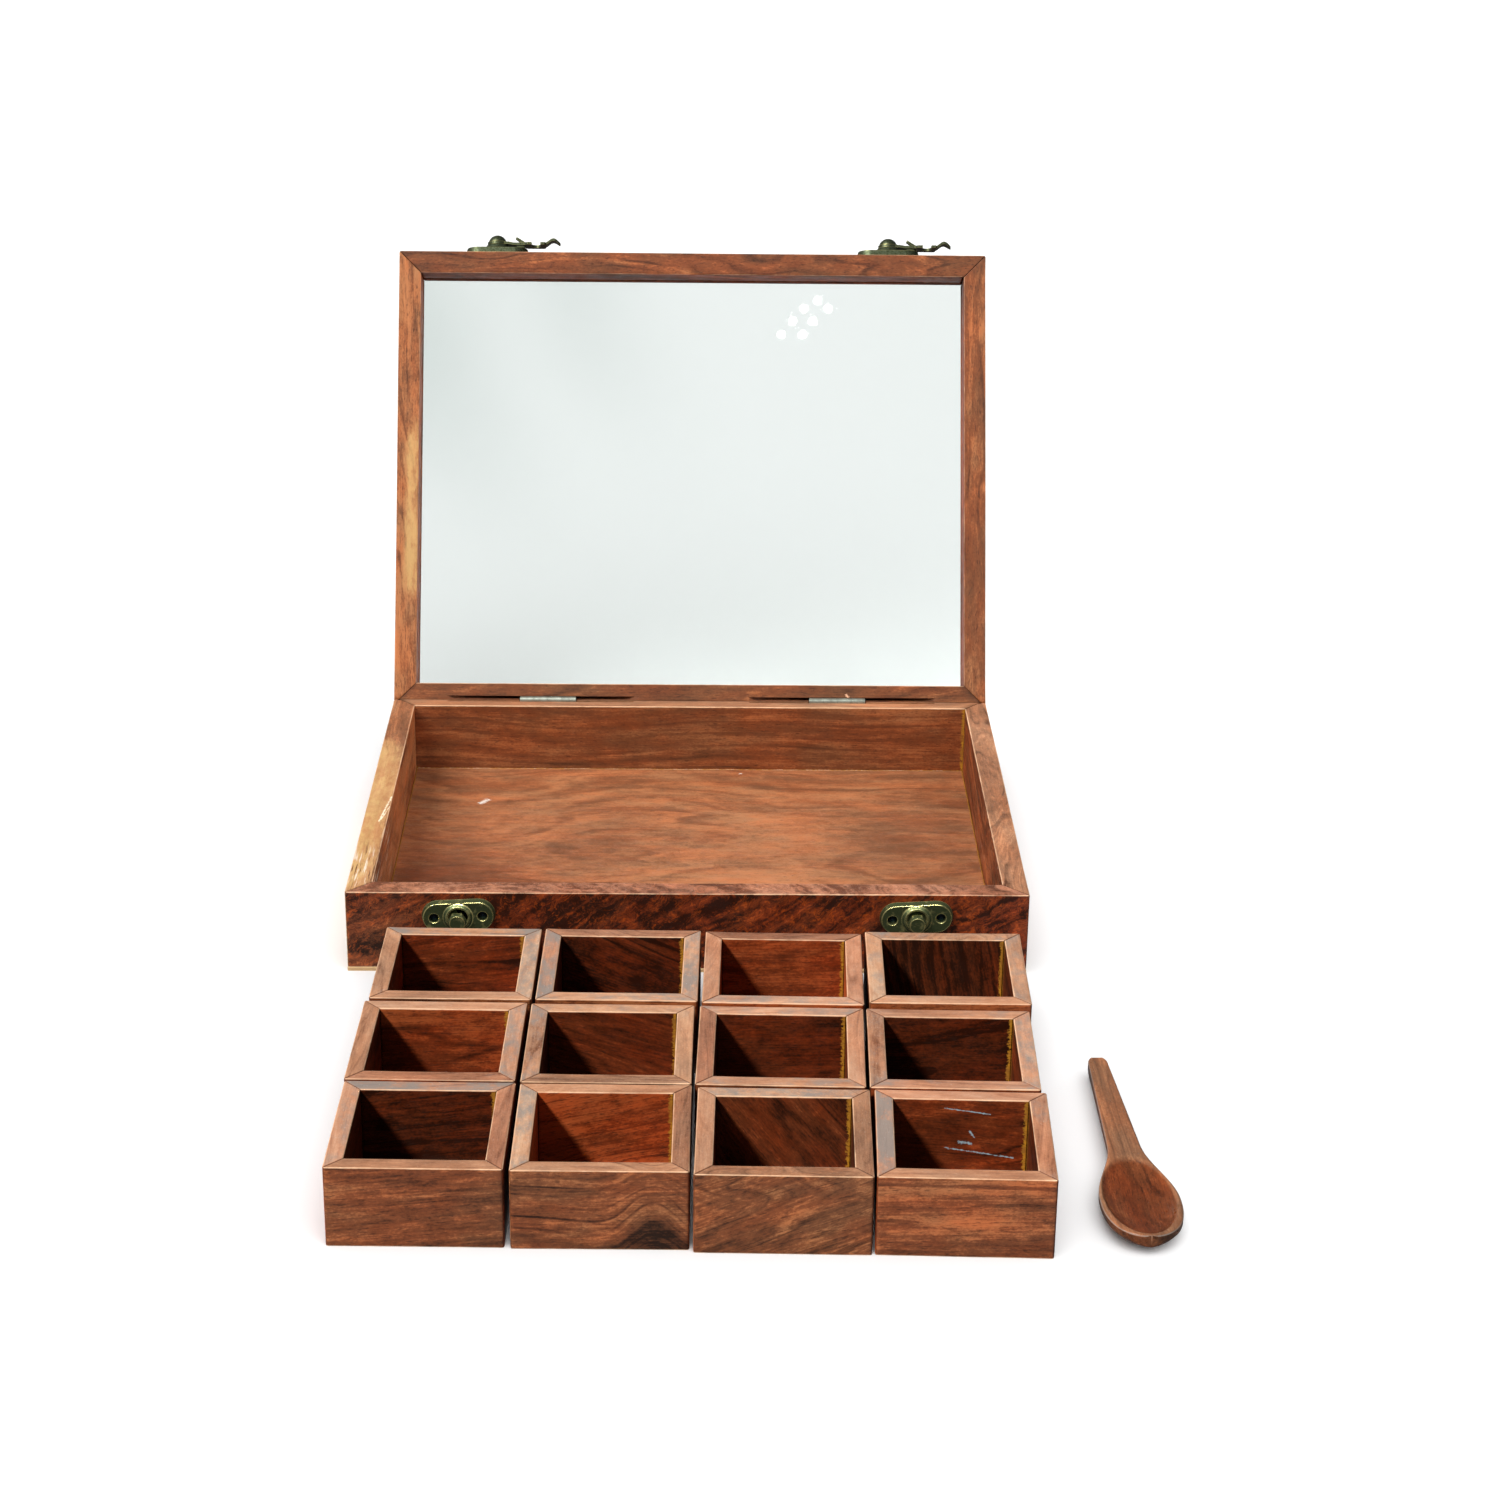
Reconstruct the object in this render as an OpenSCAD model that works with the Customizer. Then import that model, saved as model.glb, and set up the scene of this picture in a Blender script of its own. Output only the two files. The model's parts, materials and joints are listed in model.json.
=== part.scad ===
// Wooden tea bag box: a shallow mitred box with a glazed, hinged lid and two
// swing-arm catches, twelve loose cups that fill it, and a small wooden spoon.
// The lid stands open on its bevelled back edge; the cups and the spoon are laid
// out on the table in front. Millimetres, +Z up, +Y to the back. The origin is the
// middle of the box's underside.

/* [Box] */
// Width of the box, left to right
box_w = 254; // [220:1:320]
// Depth of the box, front to back
box_d = 197; // [160:1:260]
// Height of the box up to its rim
box_h = 32.5; // [28:0.5:60]
// Thickness of the boards of the box and of the lid frame
wall_t = 9.5; // [8:0.5:14]
// Thickness of the pale sheet glued under the box
sheet_t = 1.6; // [1:0.2:4]
// Thickness of the floor board between the walls
floor_t = 2.2; // [1.4:0.2:5]

/* [Lid] */
// Height of the lid frame
lid_t = 18; // [17:0.5:30]
// Angle to which the lid opens
lid_open = 116; // [100:1:124]
// Gap between the box and the closed lid
joint_gap = 0.3; // [0.2:0.1:0.6]
// Thickness of the clear pane
pane_t = 2; // [1.5:0.5:4]
// How far the pane lies in from the inner rim of the lid
pane_in = 12; // [8:0.5:13]
// Depth of the groove in the lid frame that holds the pane
groove_d = 3; // [2:0.5:5]

/* [Hinges] */
// Left hinge's middle, in from the left end of the box
hinge_in_left = 66; // [60:1:80]
// Right hinge's middle, in from the right end of the box
hinge_in_right = 64; // [60:1:80]
// Hinge axis, in from the back face of the box
hinge_in_back = 2.5; // [2.2:0.1:3.5]
// Length of each hinge
hinge_len = 24; // [18:1:32]
// Radius of the hinge knuckles
knuckle_r = 1.5; // [1.4:0.1:2]
// Radius of the hinge pin
pin_r = 0.7; // [0.5:0.05:0.8]
// Thickness of a hinge leaf
leaf_t = 0.9; // [0.6:0.1:1.2]
// Depth of a hinge leaf from the axis
leaf_h = 8.5; // [8:0.5:11]
// Radius of the round saw that cut the slots for the leaves
saw_r = 87; // [70:1:120]

/* [Catches] */
// Middle of each catch, in from the end of the box
latch_in = 42; // [32:1:60]
// Latch pivot, up from the rim of the closed lid
latch_up = 7.5; // [7:0.25:9]
// Catch stud, down from the rim of the box
catch_down = 9; // [8:0.25:12]
// How far the two catch plates are tilted by hand
catch_tilt = 3; // [0:0.5:5]
// Length of a catch or latch plate
plate_l = 27.5; // [26:0.5:34]
// Width of a catch or latch plate
plate_w = 12.7; // [11:0.1:13.4]
// Thickness of a plate
plate_t = 2.5; // [2:0.1:2.8]
// Nail holes, from the middle of the plate
nail_at = 9; // [8.5:0.25:10]
// Height of the raised boss of a latch plate
latch_boss_h = 4.2; // [4:0.1:5]
// Height of the raised boss of a catch plate
catch_boss_h = 3.6; // [3.2:0.1:3.7]
// Diameter of a boss at its foot
boss_d = 12.6; // [11:0.1:12.8]
// Diameter of a boss at its top
boss_top_d = 9; // [8:0.1:10]
// Diameter of the rivet shank and of the stud's neck
shank_d = 3.2; // [2.6:0.1:3.6]
// Diameter of the domed rivet head
dome_d = 7.9; // [7:0.1:9]
// Height of the domed rivet head
dome_h = 3.1; // [2:0.1:3.4]
// Width of the stud's head across its corners
stud_d = 7.1; // [6.4:0.1:7.4]
// Height of the stud's head
stud_h = 2.6; // [2:0.1:4]
// Thickness of the latch arm
arm_t = 1.1; // [0.8:0.1:1.2]
// Width of the latch arm
arm_w = 6.4; // [6:0.1:8]
// Length of the finger tab past the hook
tab_l = 7; // [6:0.5:10]
// Rise of the curled finger tab
tab_rise = 2.1; // [1:0.1:3]

/* [Cups] */
// Slack around each cup when all are in the box
cup_play = 2.25; // [1:0.25:6]
// How far the cups stay below the rim of the box
cup_headroom = 0.2; // [0.2:0.1:4]
// Thickness of a cup's walls
cup_wall_t = 6; // [4:0.5:9]
// Thickness of a cup's bottom
cup_floor_t = 2.5; // [1.5:0.5:5]

/* [Layout on the table] */
// Distance from the box to the back row of cups
cups_ahead = 22.8; // [16:0.1:60]
// How far the block of cups stands to the right of the box's middle
cups_aside = 3.5; // [-10:0.5:10]
// Gap between two cups of a row
cups_apart = 1.5; // [1.4:0.1:6]
// Gap between two rows of cups
rows_apart = 2.1; // [2:0.1:6]
// Distance from the cups to the spoon's middle line
spoon_aside = 24.9; // [20:0.1:60]
// How far the spoon's tip lies in front of the cups
spoon_ahead = 1.5; // [-40:0.5:20]
// Turn of the spoon on the table
spoon_turn = 1.7; // [-5:0.1:5]

/* [Spoon] */
// Length of the spoon
spoon_l = 118; // [90:1:150]
// Length of the bowl's front half, from its widest place to its tip
bowl_front_l = 22.5; // [18:0.5:30]
// Width of the bowl
bowl_w = 26.2; // [20:0.2:34]
// Width of the handle at its end
handle_w = 6.6; // [5:0.2:9]
// Width of the handle where it meets the bowl
neck_w = 11; // [9:0.2:14]
// Height of the spoon
spoon_t = 7.5; // [6:0.5:12]
// Depth of the hollow in the bowl
hollow_depth = 4; // [2:0.5:4.5]
// Width of the flat rim around the hollow
bowl_rim = 1.3; // [1:0.1:3]

/* [Hidden] */
// Fits
glue = 0.1;        // line between glued boards
pin_play = 0.05;   // around the hinge pins and the shanks
nail_play = 0.05;  // around a nail in its hole
kerf_play = 0.15;  // beside a hinge leaf in its slot
groove_play = 0.1; // above and below the pane
pane_short = 0.3;  // from the pane's edge to the bottom of its groove
bevel_play = 0.1;  // from each bevel to the plane where the two would meet
arm_play = 0.1;    // above and below the eye of a latch arm
hook_play = 0.3;   // between the hooked arm and the catch
past = 1;          // how far a cut runs past a face

// Box
inner_w = box_w - 2 * wall_t;
inner_d = box_d - 2 * wall_t;
floor_top = sheet_t + floor_t;
hinge_y = box_d / 2 - hinge_in_back;
hinge_z = box_h + joint_gap / 2;
lid_z = box_h + joint_gap;
bevel = lid_open / 2;
bevel_run = 3 * wall_t;

// Hinges
hinge_x = [-box_w / 2 + hinge_in_left, box_w / 2 - hinge_in_right];
kerf_shift = [-3, 2];
knuckles = 4;
knuckle_l = hinge_len / knuckles;
knuckle_gap = 0.15;
pocket_play = 0.25;
leaf_y = -(knuckle_r - leaf_t / 2);
kerf_w = leaf_t + 2 * kerf_play;
kerf_depth = leaf_h + 1.5;
brad_x = hinge_len / 3;
brad_z = leaf_h - 2.3;
brad_r = 0.6;
brad_l = wall_t - 3;
brad_head_r = 1.1;
brad_head_t = 0.4;

// Catches
latch_x = [-box_w / 2 + latch_in, box_w / 2 - latch_in];
latch_z = lid_z + latch_up;
catch_z = box_h - catch_down;
hook_r = latch_up + catch_down + joint_gap;
edge_draft = 0.7;
nail_r = 0.75;
nail_l = wall_t - 1.5;
nail_head_r = 1.6;
nail_head_t = 0.9;
nail_ledge = 0.6;
nail_cup_r = 1.85;
arm_z = latch_boss_h + arm_play;
arm_low_z = catch_boss_h + hook_play;
dome_z = arm_z + arm_t + arm_play;
stud_z = arm_low_z + arm_t + hook_play + 0.1;
stud_foot_z = 0.3;
stud_well_r = 3.8;
stud_well_depth = 1.1;
eye_r = 4.3;
notch_r = shank_d / 2 + hook_play;
hook_w = arm_w + 2.6;
hook_l = 2 * notch_r + 3.6;
tab_start = hook_r + stud_d / 2 * cos(30) + 0.3;
tab_end = hook_r + stud_d / 2 + tab_l;
tab_w = arm_w - 1;
tab_wave = 1.15 * (tab_end - tab_start);
tab_steps = 14;
prong_w = 2.2;
prong_base = hook_r - hook_l / 2 - 0.1;
prong_tip = prong_base - 5.2;
prong_rise = 2.9;
prong_play = 0.3;

// Cups
cup_cols = 4;
cup_rows = 3;
cup_w = min(inner_w / cup_cols, inner_d / cup_rows) - cup_play;
cup_h = box_h - floor_top - cup_headroom;
col_step = cup_w + cups_apart;
row_step = cup_w + rows_apart;
cups_back_y = -box_d / 2 - cups_ahead - cup_w / 2;
cups_right_x = cups_aside + (cup_cols * col_step - cups_apart) / 2;
cups_front_y = cups_back_y - (cup_rows - 1) * row_step - cup_w / 2;
// Set down by hand: each cup's shift in x and y and its turn, front row first.
cup_nudge = [
    [-0.9, 2.5, -0.9], [-0.8, 1.3, -0.5], [-0.8, -1.1, -1.3], [-1.2, -2.5, -2.0],
    [-0.3, 1.4, -1.1], [-0.3, -0.1, -0.9], [-0.4, -1.6, -1.7], [-0.9, -3.2, -1.5],
    [1.9, 1.4, -1.0], [1.7, 0.7, -1.1], [1.7, -1.3, -1.5], [1.8, -0.7, -1.0]
];

// Spoon
spoon_x = cups_right_x + spoon_aside;
spoon_tip_y = cups_front_y - spoon_ahead;
neck_at = spoon_l / 2;
widest_at = spoon_l - bowl_front_l;
rim_h = 2.6;
handle_lift = 0.8;
spoon_rings = 30;
spoon_across = 10;
end_round = 3;

function cup_name(i, piece) = str("cup_", i < 9 ? "0" : "", i + 1, "_", piece);

// Colours
rosewood = "#7a3d22";
rosewood_dark = "#54261a";
rosewood_pale = "#a86a45";
cup_wood = "#8a4a34";
plywood = "#d9b98a";
old_brass = "#6f6a3c";
worn_brass = "#a49c5a";
zinc = "#b9bcb8";
blued_steel = "#23323a";

// ---------------------------------------------------------------- placing

// Things modelled on the closed lid, swung open about the hinge axis.
module opened() {
    translate([0, hinge_y, hinge_z]) rotate([-lid_open, 0, 0])
        translate([0, -hinge_y, -hinge_z]) children();
}

// Local x to the right, y up and z out of the front face.
module on_front(x, z) {
    translate([x, -box_d / 2, z]) rotate([90, 0, 0]) children();
}

// The hinge axis of side i, with local x along it.
module at_hinge(i) {
    translate([hinge_x[i], hinge_y, hinge_z]) children();
}

module at_cup(i) {
    col = i % cup_cols;
    row = cup_rows - 1 - floor(i / cup_cols);
    translate([
        cups_aside + (col - (cup_cols - 1) / 2) * col_step + cup_nudge[i][0],
        cups_back_y - row * row_step + cup_nudge[i][1],
        0
    ]) rotate([0, 0, cup_nudge[i][2]]) children();
}

// ---------------------------------------------------------------- boards

// One mitred board of a w by d frame, t thick and h high, on the side that faces -Y.
module mitred_board(w, d, t, h) {
    cut = glue / sqrt(2);
    linear_extrude(h) polygon([
        [-w / 2 + cut, -d / 2], [w / 2 - cut, -d / 2],
        [w / 2 - t - cut, -d / 2 + t], [-w / 2 + t + cut, -d / 2 + t]
    ]);
}

// Side 0 is the front, 1 the right, 2 the back and 3 the left.
module frame_side(side, h) {
    turned = side % 2 == 1;
    rotate([0, 0, side * 90])
        mitred_board(turned ? box_d : box_w, turned ? box_w : box_d, wall_t, h);
}

// What the back bevel takes off: up is 1 for the box and -1 for the closed lid.
module bevel_cut(up) {
    rim = -joint_gap / 2;
    start = (-rim * cos(bevel) - bevel_play) / sin(bevel);
    translate([0, hinge_y, hinge_z]) scale([1, 1, up]) rotate([90, 0, 90])
        linear_extrude(box_w + 2 * past, center = true) polygon([
            [start, past], [start, rim],
            [start + bevel_run * cos(bevel), rim - bevel_run * sin(bevel)],
            [start + bevel_run * cos(bevel), past]
        ]);
}

// Room for both hinges in a back board: barrel pockets, saw slots and brad holes.
module hinge_cuts(up) {
    for (i = [0, 1]) at_hinge(i) {
        rotate([0, 90, 0])
            cylinder(h = hinge_len + 2 * pocket_play, r = knuckle_r + pocket_play, center = true, $fn = 48);
        translate([kerf_shift[i], leaf_y, -up * kerf_depth + up * saw_r]) rotate([90, 0, 0])
            cylinder(h = kerf_w, r = saw_r, center = true, $fn = 180);
        brads(up, nail_play);
    }
}

module box_side(side) {
    color(side == 0 ? rosewood_dark : rosewood) difference() {
        translate([0, 0, sheet_t]) frame_side(side, box_h - sheet_t);
        if (side > 0) bevel_cut(1);
        if (side == 2) hinge_cuts(1);
        if (side == 0) catch_nail_shanks(nail_play);
    }
}

module bottom_sheet() {
    color(plywood) translate([-box_w / 2, -box_d / 2, 0]) cube([box_w, box_d, sheet_t]);
}

module floor_board() {
    w = inner_w - 2 * glue;
    d = inner_d - 2 * glue;
    color(rosewood_pale) translate([-w / 2, -d / 2, sheet_t]) cube([w, d, floor_t]);
}

// ---------------------------------------------------------------- lid

module pane_block(reach, extra) {
    w = inner_w + 2 * reach;
    d = inner_d + 2 * reach;
    translate([-w / 2, -d / 2, lid_z + pane_in - extra]) cube([w, d, pane_t + 2 * extra]);
}

module lid_side(side) {
    color(rosewood) opened() difference() {
        translate([0, 0, lid_z]) frame_side(side, lid_t);
        pane_block(groove_d, groove_play);
        if (side > 0) bevel_cut(-1);
        if (side == 2) hinge_cuts(-1);
        if (side == 0) latch_nail_shanks(nail_play);
    }
}

module lid_pane() {
    color([0.9, 0.95, 0.96, 0.35]) opened() pane_block(groove_d - pane_short, 0);
}

// ---------------------------------------------------------------- hinges

// A leaf with two of the four knuckles. The lower leaf has up = 1, and the upper -1.
module hinge_leaf(up) {
    own = up > 0 ? 0 : 1;
    top = -(knuckle_r + pocket_play);
    difference() {
        union() {
            for (k = [own : 2 : knuckles - 1])
                translate([(k + 0.5) * knuckle_l - hinge_len / 2, 0, 0]) {
                    l = knuckle_l - knuckle_gap;
                    rotate([0, 90, 0]) cylinder(h = l, r = knuckle_r, center = true, $fn = 48);
                    translate([-l / 2, leaf_y - leaf_t / 2, up > 0 ? top - past : 0])
                        cube([l, leaf_t, -top + past]);
                }
            translate([-hinge_len / 2, leaf_y - leaf_t / 2, up > 0 ? -leaf_h : -top])
                cube([hinge_len, leaf_t, leaf_h + top]);
        }
        rotate([0, 90, 0])
            cylinder(h = hinge_len + 2 * past, r = pin_r + pin_play, center = true, $fn = 48);
        brads(up, 2 * nail_play);
    }
}

module hinge_pin(i) {
    color(zinc) at_hinge(i) rotate([0, 90, 0])
        cylinder(h = hinge_len, r = pin_r, center = true, $fn = 48);
}

// The two brads that hold a leaf, driven from the back face. Extra widens them into holes.
module brads(up, extra) {
    for (s = [-1, 1]) translate([s * brad_x, hinge_in_back, -up * brad_z]) rotate([90, 0, 0]) {
        translate([0, 0, extra > 0 ? -past : 0])
            cylinder(h = brad_l + (extra > 0 ? past + extra : 0), r = brad_r + extra, $fn = 24);
        translate([0, 0, extra > 0 ? -past : 0])
            cylinder(h = brad_head_t + (extra > 0 ? past + extra : 0), r = brad_head_r + extra, $fn = 24);
    }
}

module hinge_brads(up) {
    for (i = [0, 1]) at_hinge(i) brads(up, 0);
}

// ---------------------------------------------------------------- catches

// A stadium-shaped plate with drafted edges, a boss, a bore and two nail holes.
module fitting_plate(boss_h, well) {
    half = plate_l / 2 - plate_w / 2;
    foot = plate_w / 2;
    face = foot - edge_draft;
    difference() {
        union() {
            for (s = [-1, 1]) translate([s * half, 0, 0]) cylinder(h = plate_t, r1 = foot, r2 = face, $fn = 64);
            rotate([90, 0, 90]) linear_extrude(2 * half, center = true)
                polygon([[-foot, 0], [foot, 0], [face, plate_t], [-face, plate_t]]);
            cylinder(h = plate_t, r = boss_d / 2 - edge_draft, $fn = 64);
            translate([0, 0, plate_t])
                cylinder(h = boss_h - plate_t, r1 = boss_d / 2 - edge_draft, r2 = boss_top_d / 2, $fn = 64);
        }
        translate([0, 0, -past]) cylinder(h = boss_h + 2 * past, r = shank_d / 2 + pin_play, $fn = 48);
        if (well) translate([0, 0, boss_h - stud_well_depth])
            cylinder(h = stud_well_depth + past, r = stud_well_r, $fn = 48);
        for (s = [-1, 1]) translate([s * nail_at, 0, 0]) {
            translate([0, 0, -past]) cylinder(h = plate_t + 2 * past, r = nail_r + nail_play, $fn = 32);
            translate([0, 0, nail_ledge]) cylinder(h = plate_t + past, r = nail_cup_r, $fn = 32);
        }
    }
}

// The round-headed nails of one plate.
module plate_nails() {
    for (s = [-1, 1]) translate([s * nail_at, 0, nail_ledge]) {
        translate([0, 0, -nail_l]) cylinder(h = nail_l, r = nail_r, $fn = 24);
        intersection() {
            cylinder(h = nail_head_t, r = nail_head_r, $fn = 32);
            translate([0, 0, nail_head_t - 2 * nail_head_r]) sphere(r = 2 * nail_head_r, $fn = 48);
        }
    }
}

module nail_holes(extra) {
    for (s = [-1, 1]) translate([s * nail_at, 0, nail_ledge - nail_l - extra])
        cylinder(h = nail_l + past, r = nail_r + extra, $fn = 24);
}

module at_catch(i) {
    on_front(latch_x[i], catch_z) rotate([0, 0, catch_tilt]) children();
}

module at_latch(i) {
    on_front(latch_x[i], latch_z) children();
}

module catch_nail_shanks(extra) {
    for (i = [0, 1]) at_catch(i) nail_holes(extra);
}

module latch_nail_shanks(extra) {
    for (i = [0, 1]) at_latch(i) nail_holes(extra);
}

module catch_stud() {
    translate([0, 0, stud_foot_z]) cylinder(h = stud_z - stud_foot_z, r = shank_d / 2, $fn = 48);
    translate([0, 0, stud_z]) intersection() {
        cylinder(h = stud_h, r = stud_d / 2, $fn = 6);
        cylinder(h = stud_h, r1 = stud_d / 2 + 0.4, r2 = stud_d / 2 - 0.7, $fn = 48);
    }
}

module latch_rivet() {
    ball = (dome_d * dome_d / 4 + dome_h * dome_h) / (2 * dome_h);
    translate([0, 0, stud_foot_z]) cylinder(h = dome_z - stud_foot_z, r = shank_d / 2, $fn = 48);
    intersection() {
        translate([0, 0, dome_z]) cylinder(h = dome_h + past, r = dome_d / 2, $fn = 64);
        translate([0, 0, dome_z + dome_h - ball]) sphere(r = ball, $fn = 64);
    }
}

// Height of the arm's underside at a distance u from its pivot: level under the
// rivet, a step down to the hook, then a curled finger tab, a squared sine wave.
function arm_under(u) =
    u < eye_r + 0.6 ? arm_z :
    u < eye_r + 2.6 ? arm_z + (arm_low_z - arm_z) * (u - eye_r - 0.6) / 2 :
    u < tab_start ? arm_low_z :
    arm_low_z + tab_rise * pow(sin(180 * (u - tab_start) / tab_wave), 2);

module arm_side() {
    stations = concat(
        [-eye_r, eye_r + 0.6, eye_r + 2.6],
        [for (k = [0 : tab_steps]) tab_start + (tab_end - tab_start) * k / tab_steps]
    );
    last = len(stations) - 1;
    polygon(concat(
        [for (k = [0 : last]) [stations[k], arm_under(stations[k])]],
        [for (k = [0 : last]) [stations[last - k], arm_under(stations[last - k]) + arm_t]]
    ));
}

module arm_outline() {
    difference() {
        union() {
            circle(r = eye_r, $fn = 64);
            polygon([
                [0, -arm_w / 2], [hook_r - hook_l / 2 - 1.5, -arm_w / 2],
                [hook_r - hook_l / 2, -hook_w / 2], [hook_r + hook_l / 2, -hook_w / 2],
                [tab_start + 0.8, -tab_w / 2], [tab_end - tab_w / 2, -tab_w / 2],
                [tab_end - tab_w / 2, tab_w / 2], [tab_start + 0.8, tab_w / 2],
                [hook_r + hook_l / 2, hook_w / 2], [hook_r - hook_l / 2, hook_w / 2],
                [hook_r - hook_l / 2 - 1.5, arm_w / 2], [0, arm_w / 2]
            ]);
            translate([tab_end - tab_w / 2, 0]) circle(r = tab_w / 2, $fn = 48);
        }
        translate([hook_r, 0]) circle(r = notch_r, $fn = 48);
        translate([hook_r - notch_r, -hook_w]) square([2 * notch_r, hook_w]);
        translate([prong_tip - prong_play, -prong_w / 2 - prong_play])
            square([prong_base - prong_tip, prong_w + 2 * prong_play]);
    }
}

// The arm points along local x, with its notch open towards -y and a tongue cut
// from its middle and bent outwards as a thumb piece.
module latch_arm() {
    difference() {
        union() {
            intersection() {
                rotate([90, 0, 0]) linear_extrude(2 * hook_w, center = true) arm_side();
                linear_extrude(arm_z + arm_t + tab_rise + past) arm_outline();
            }
            rotate([90, 0, 0]) linear_extrude(prong_w, center = true) polygon([
                [prong_base - 0.6, arm_low_z], [prong_base, arm_low_z],
                [prong_base, arm_low_z + arm_t], [prong_tip + 0.5, arm_low_z + arm_t + prong_rise],
                [prong_tip, arm_low_z + arm_t / 4 + prong_rise]
            ]);
        }
        cylinder(h = dome_z + past, r = shank_d / 2 + pin_play, $fn = 48);
    }
}

// ---------------------------------------------------------------- cups

module cup_walls(i) {
    color(cup_wood) at_cup(i) for (side = [0 : 3])
        rotate([0, 0, side * 90]) mitred_board(cup_w, cup_w, cup_wall_t, cup_h);
}

module cup_bottom(i) {
    w = cup_w - 2 * cup_wall_t - 2 * glue;
    color(cup_wood) at_cup(i) translate([-w / 2, -w / 2, 0]) cube([w, w, cup_floor_t]);
}

// ---------------------------------------------------------------- spoon

// Half width at a distance s from the handle's end: a straight taper, a smooth
// swell into the bowl, and half an ellipse at the front.
function spoon_half(s) =
    s < neck_at ? (handle_w + (neck_w - handle_w) * s / neck_at) / 2 * sqrt(1 - pow(max(0, 1 - s / end_round), 2) * 0.6) :
    s < widest_at ? neck_w / 2 + (bowl_w - neck_w) / 2 * (1 - cos(180 * (s - neck_at) / (widest_at - neck_at))) / 2 :
    bowl_w / 2 * sqrt(max(0, 1 - pow((s - widest_at) / bowl_front_l, 2)));

// The hollow: a bowl over an oval that keeps the rim's width inside the outline.
hollow_back = neck_at + 0.27 * (widest_at - neck_at);
hollow_mid = widest_at - 2;
function hollow_at(s, x) =
    let (
        reach = s < hollow_mid ? hollow_mid - hollow_back : spoon_l - bowl_rim - hollow_mid,
        a = (s - hollow_mid) / reach,
        b = x / max(0.1, bowl_w / 2 - bowl_rim),
        q = 1 - a * a - b * b
    ) q > 0 ? hollow_depth * pow(q, 0.6) : 0;

// The underside: level under the bowl, arched under the handle, round across.
function spoon_under(s, t) =
    let (
        lift = s < neck_at ? handle_lift * sin(180 * s / neck_at) : 0,
        tip = s > widest_at ? 1.6 * pow((s - widest_at) / bowl_front_l, 4) : 0,
        low = lift + tip,
        high = spoon_t - rim_h
    ) low + (high - low) * pow(abs(t), 3);

module spoon() {
    // Rings crowd towards both ends, where the outline turns.
    stations = [for (k = [0 : spoon_rings]) spoon_l * (1 - cos(180 * (k + 0.35) / (spoon_rings + 0.7))) / 2];
    loop = 2 * (spoon_across + 1);
    pts = [for (s = stations) each concat(
        [for (j = [0 : spoon_across]) let (t = 2 * j / spoon_across - 1, x = spoon_half(s) * t)
            [x, -s, spoon_t - hollow_at(s, x)]],
        [for (j = [0 : spoon_across]) let (t = 1 - 2 * j / spoon_across)
            [spoon_half(s) * t, -s, spoon_under(s, t)]]
    )];
    rings = len(stations);
    sides = [for (k = [0 : rings - 2]) for (j = [0 : loop - 1]) each let (
        a = k * loop + j, b = k * loop + (j + 1) % loop, c = a + loop, d = b + loop
    ) [[a, b, d], [a, d, c]]];
    ends = [for (k = [0, rings - 1]) for (j = [0 : spoon_across - 1]) let (
        a = k * loop + j, b = a + 1, d = (k + 1) * loop - 1 - j, c = d - 1
    ) k == 0 ? [a, d, c, b] : [a, b, c, d]];
    color(rosewood_pale) translate([spoon_x, spoon_tip_y + spoon_l, 0]) rotate([0, 0, spoon_turn])
        polyhedron(points = pts, faces = concat(sides, ends), convexity = 4);
}

// ---------------------------------------------------------------- parts

box_side(0);  // box_front_wall
box_side(1);  // box_right_wall
box_side(2);  // box_back_wall
box_side(3);  // box_left_wall
bottom_sheet();
floor_board();
lid_side(0);  // lid_front_rail
lid_side(1);  // lid_right_rail
lid_side(2);  // lid_back_rail
lid_side(3);  // lid_left_rail
lid_pane();
color(zinc) at_hinge(0) hinge_leaf(1);  // hinge_left_lower_leaf
color(zinc) opened() at_hinge(0) hinge_leaf(-1);  // hinge_left_upper_leaf
hinge_pin(0);  // hinge_left_pin
color(zinc) at_hinge(1) hinge_leaf(1);  // hinge_right_lower_leaf
color(zinc) opened() at_hinge(1) hinge_leaf(-1);  // hinge_right_upper_leaf
hinge_pin(1);  // hinge_right_pin
color(blued_steel) hinge_brads(1);  // hinge_brads_box
color(blued_steel) opened() hinge_brads(-1);  // hinge_brads_lid
color(old_brass) at_catch(0) fitting_plate(catch_boss_h, true);  // catch_left_plate
color(worn_brass) at_catch(0) catch_stud();  // catch_left_stud
color(old_brass) at_catch(1) fitting_plate(catch_boss_h, true);  // catch_right_plate
color(worn_brass) at_catch(1) catch_stud();  // catch_right_stud
color(blued_steel) for (i = [0, 1]) at_catch(i) plate_nails();  // catch_nails
color(old_brass) opened() at_latch(0) fitting_plate(latch_boss_h, false);  // latch_left_plate
color(old_brass) opened() at_latch(0) latch_arm();  // latch_left_arm
color(worn_brass) opened() at_latch(0) latch_rivet();  // latch_left_rivet
color(old_brass) opened() at_latch(1) fitting_plate(latch_boss_h, false);  // latch_right_plate
color(old_brass) opened() at_latch(1) latch_arm();  // latch_right_arm
color(worn_brass) opened() at_latch(1) latch_rivet();  // latch_right_rivet
color(blued_steel) opened() for (i = [0, 1]) at_latch(i) plate_nails();  // latch_nails
for (i = [0 : cup_cols * cup_rows - 1]) {
    cup_walls(i);
    cup_bottom(i);
}
spoon();
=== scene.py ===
import json
import math

import bmesh
import bpy
import numpy as np
from bpy.props import FloatProperty, FloatVectorProperty, PointerProperty
from bpy.types import Operator, Panel, PropertyGroup
from mathutils import Matrix, Vector


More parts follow.
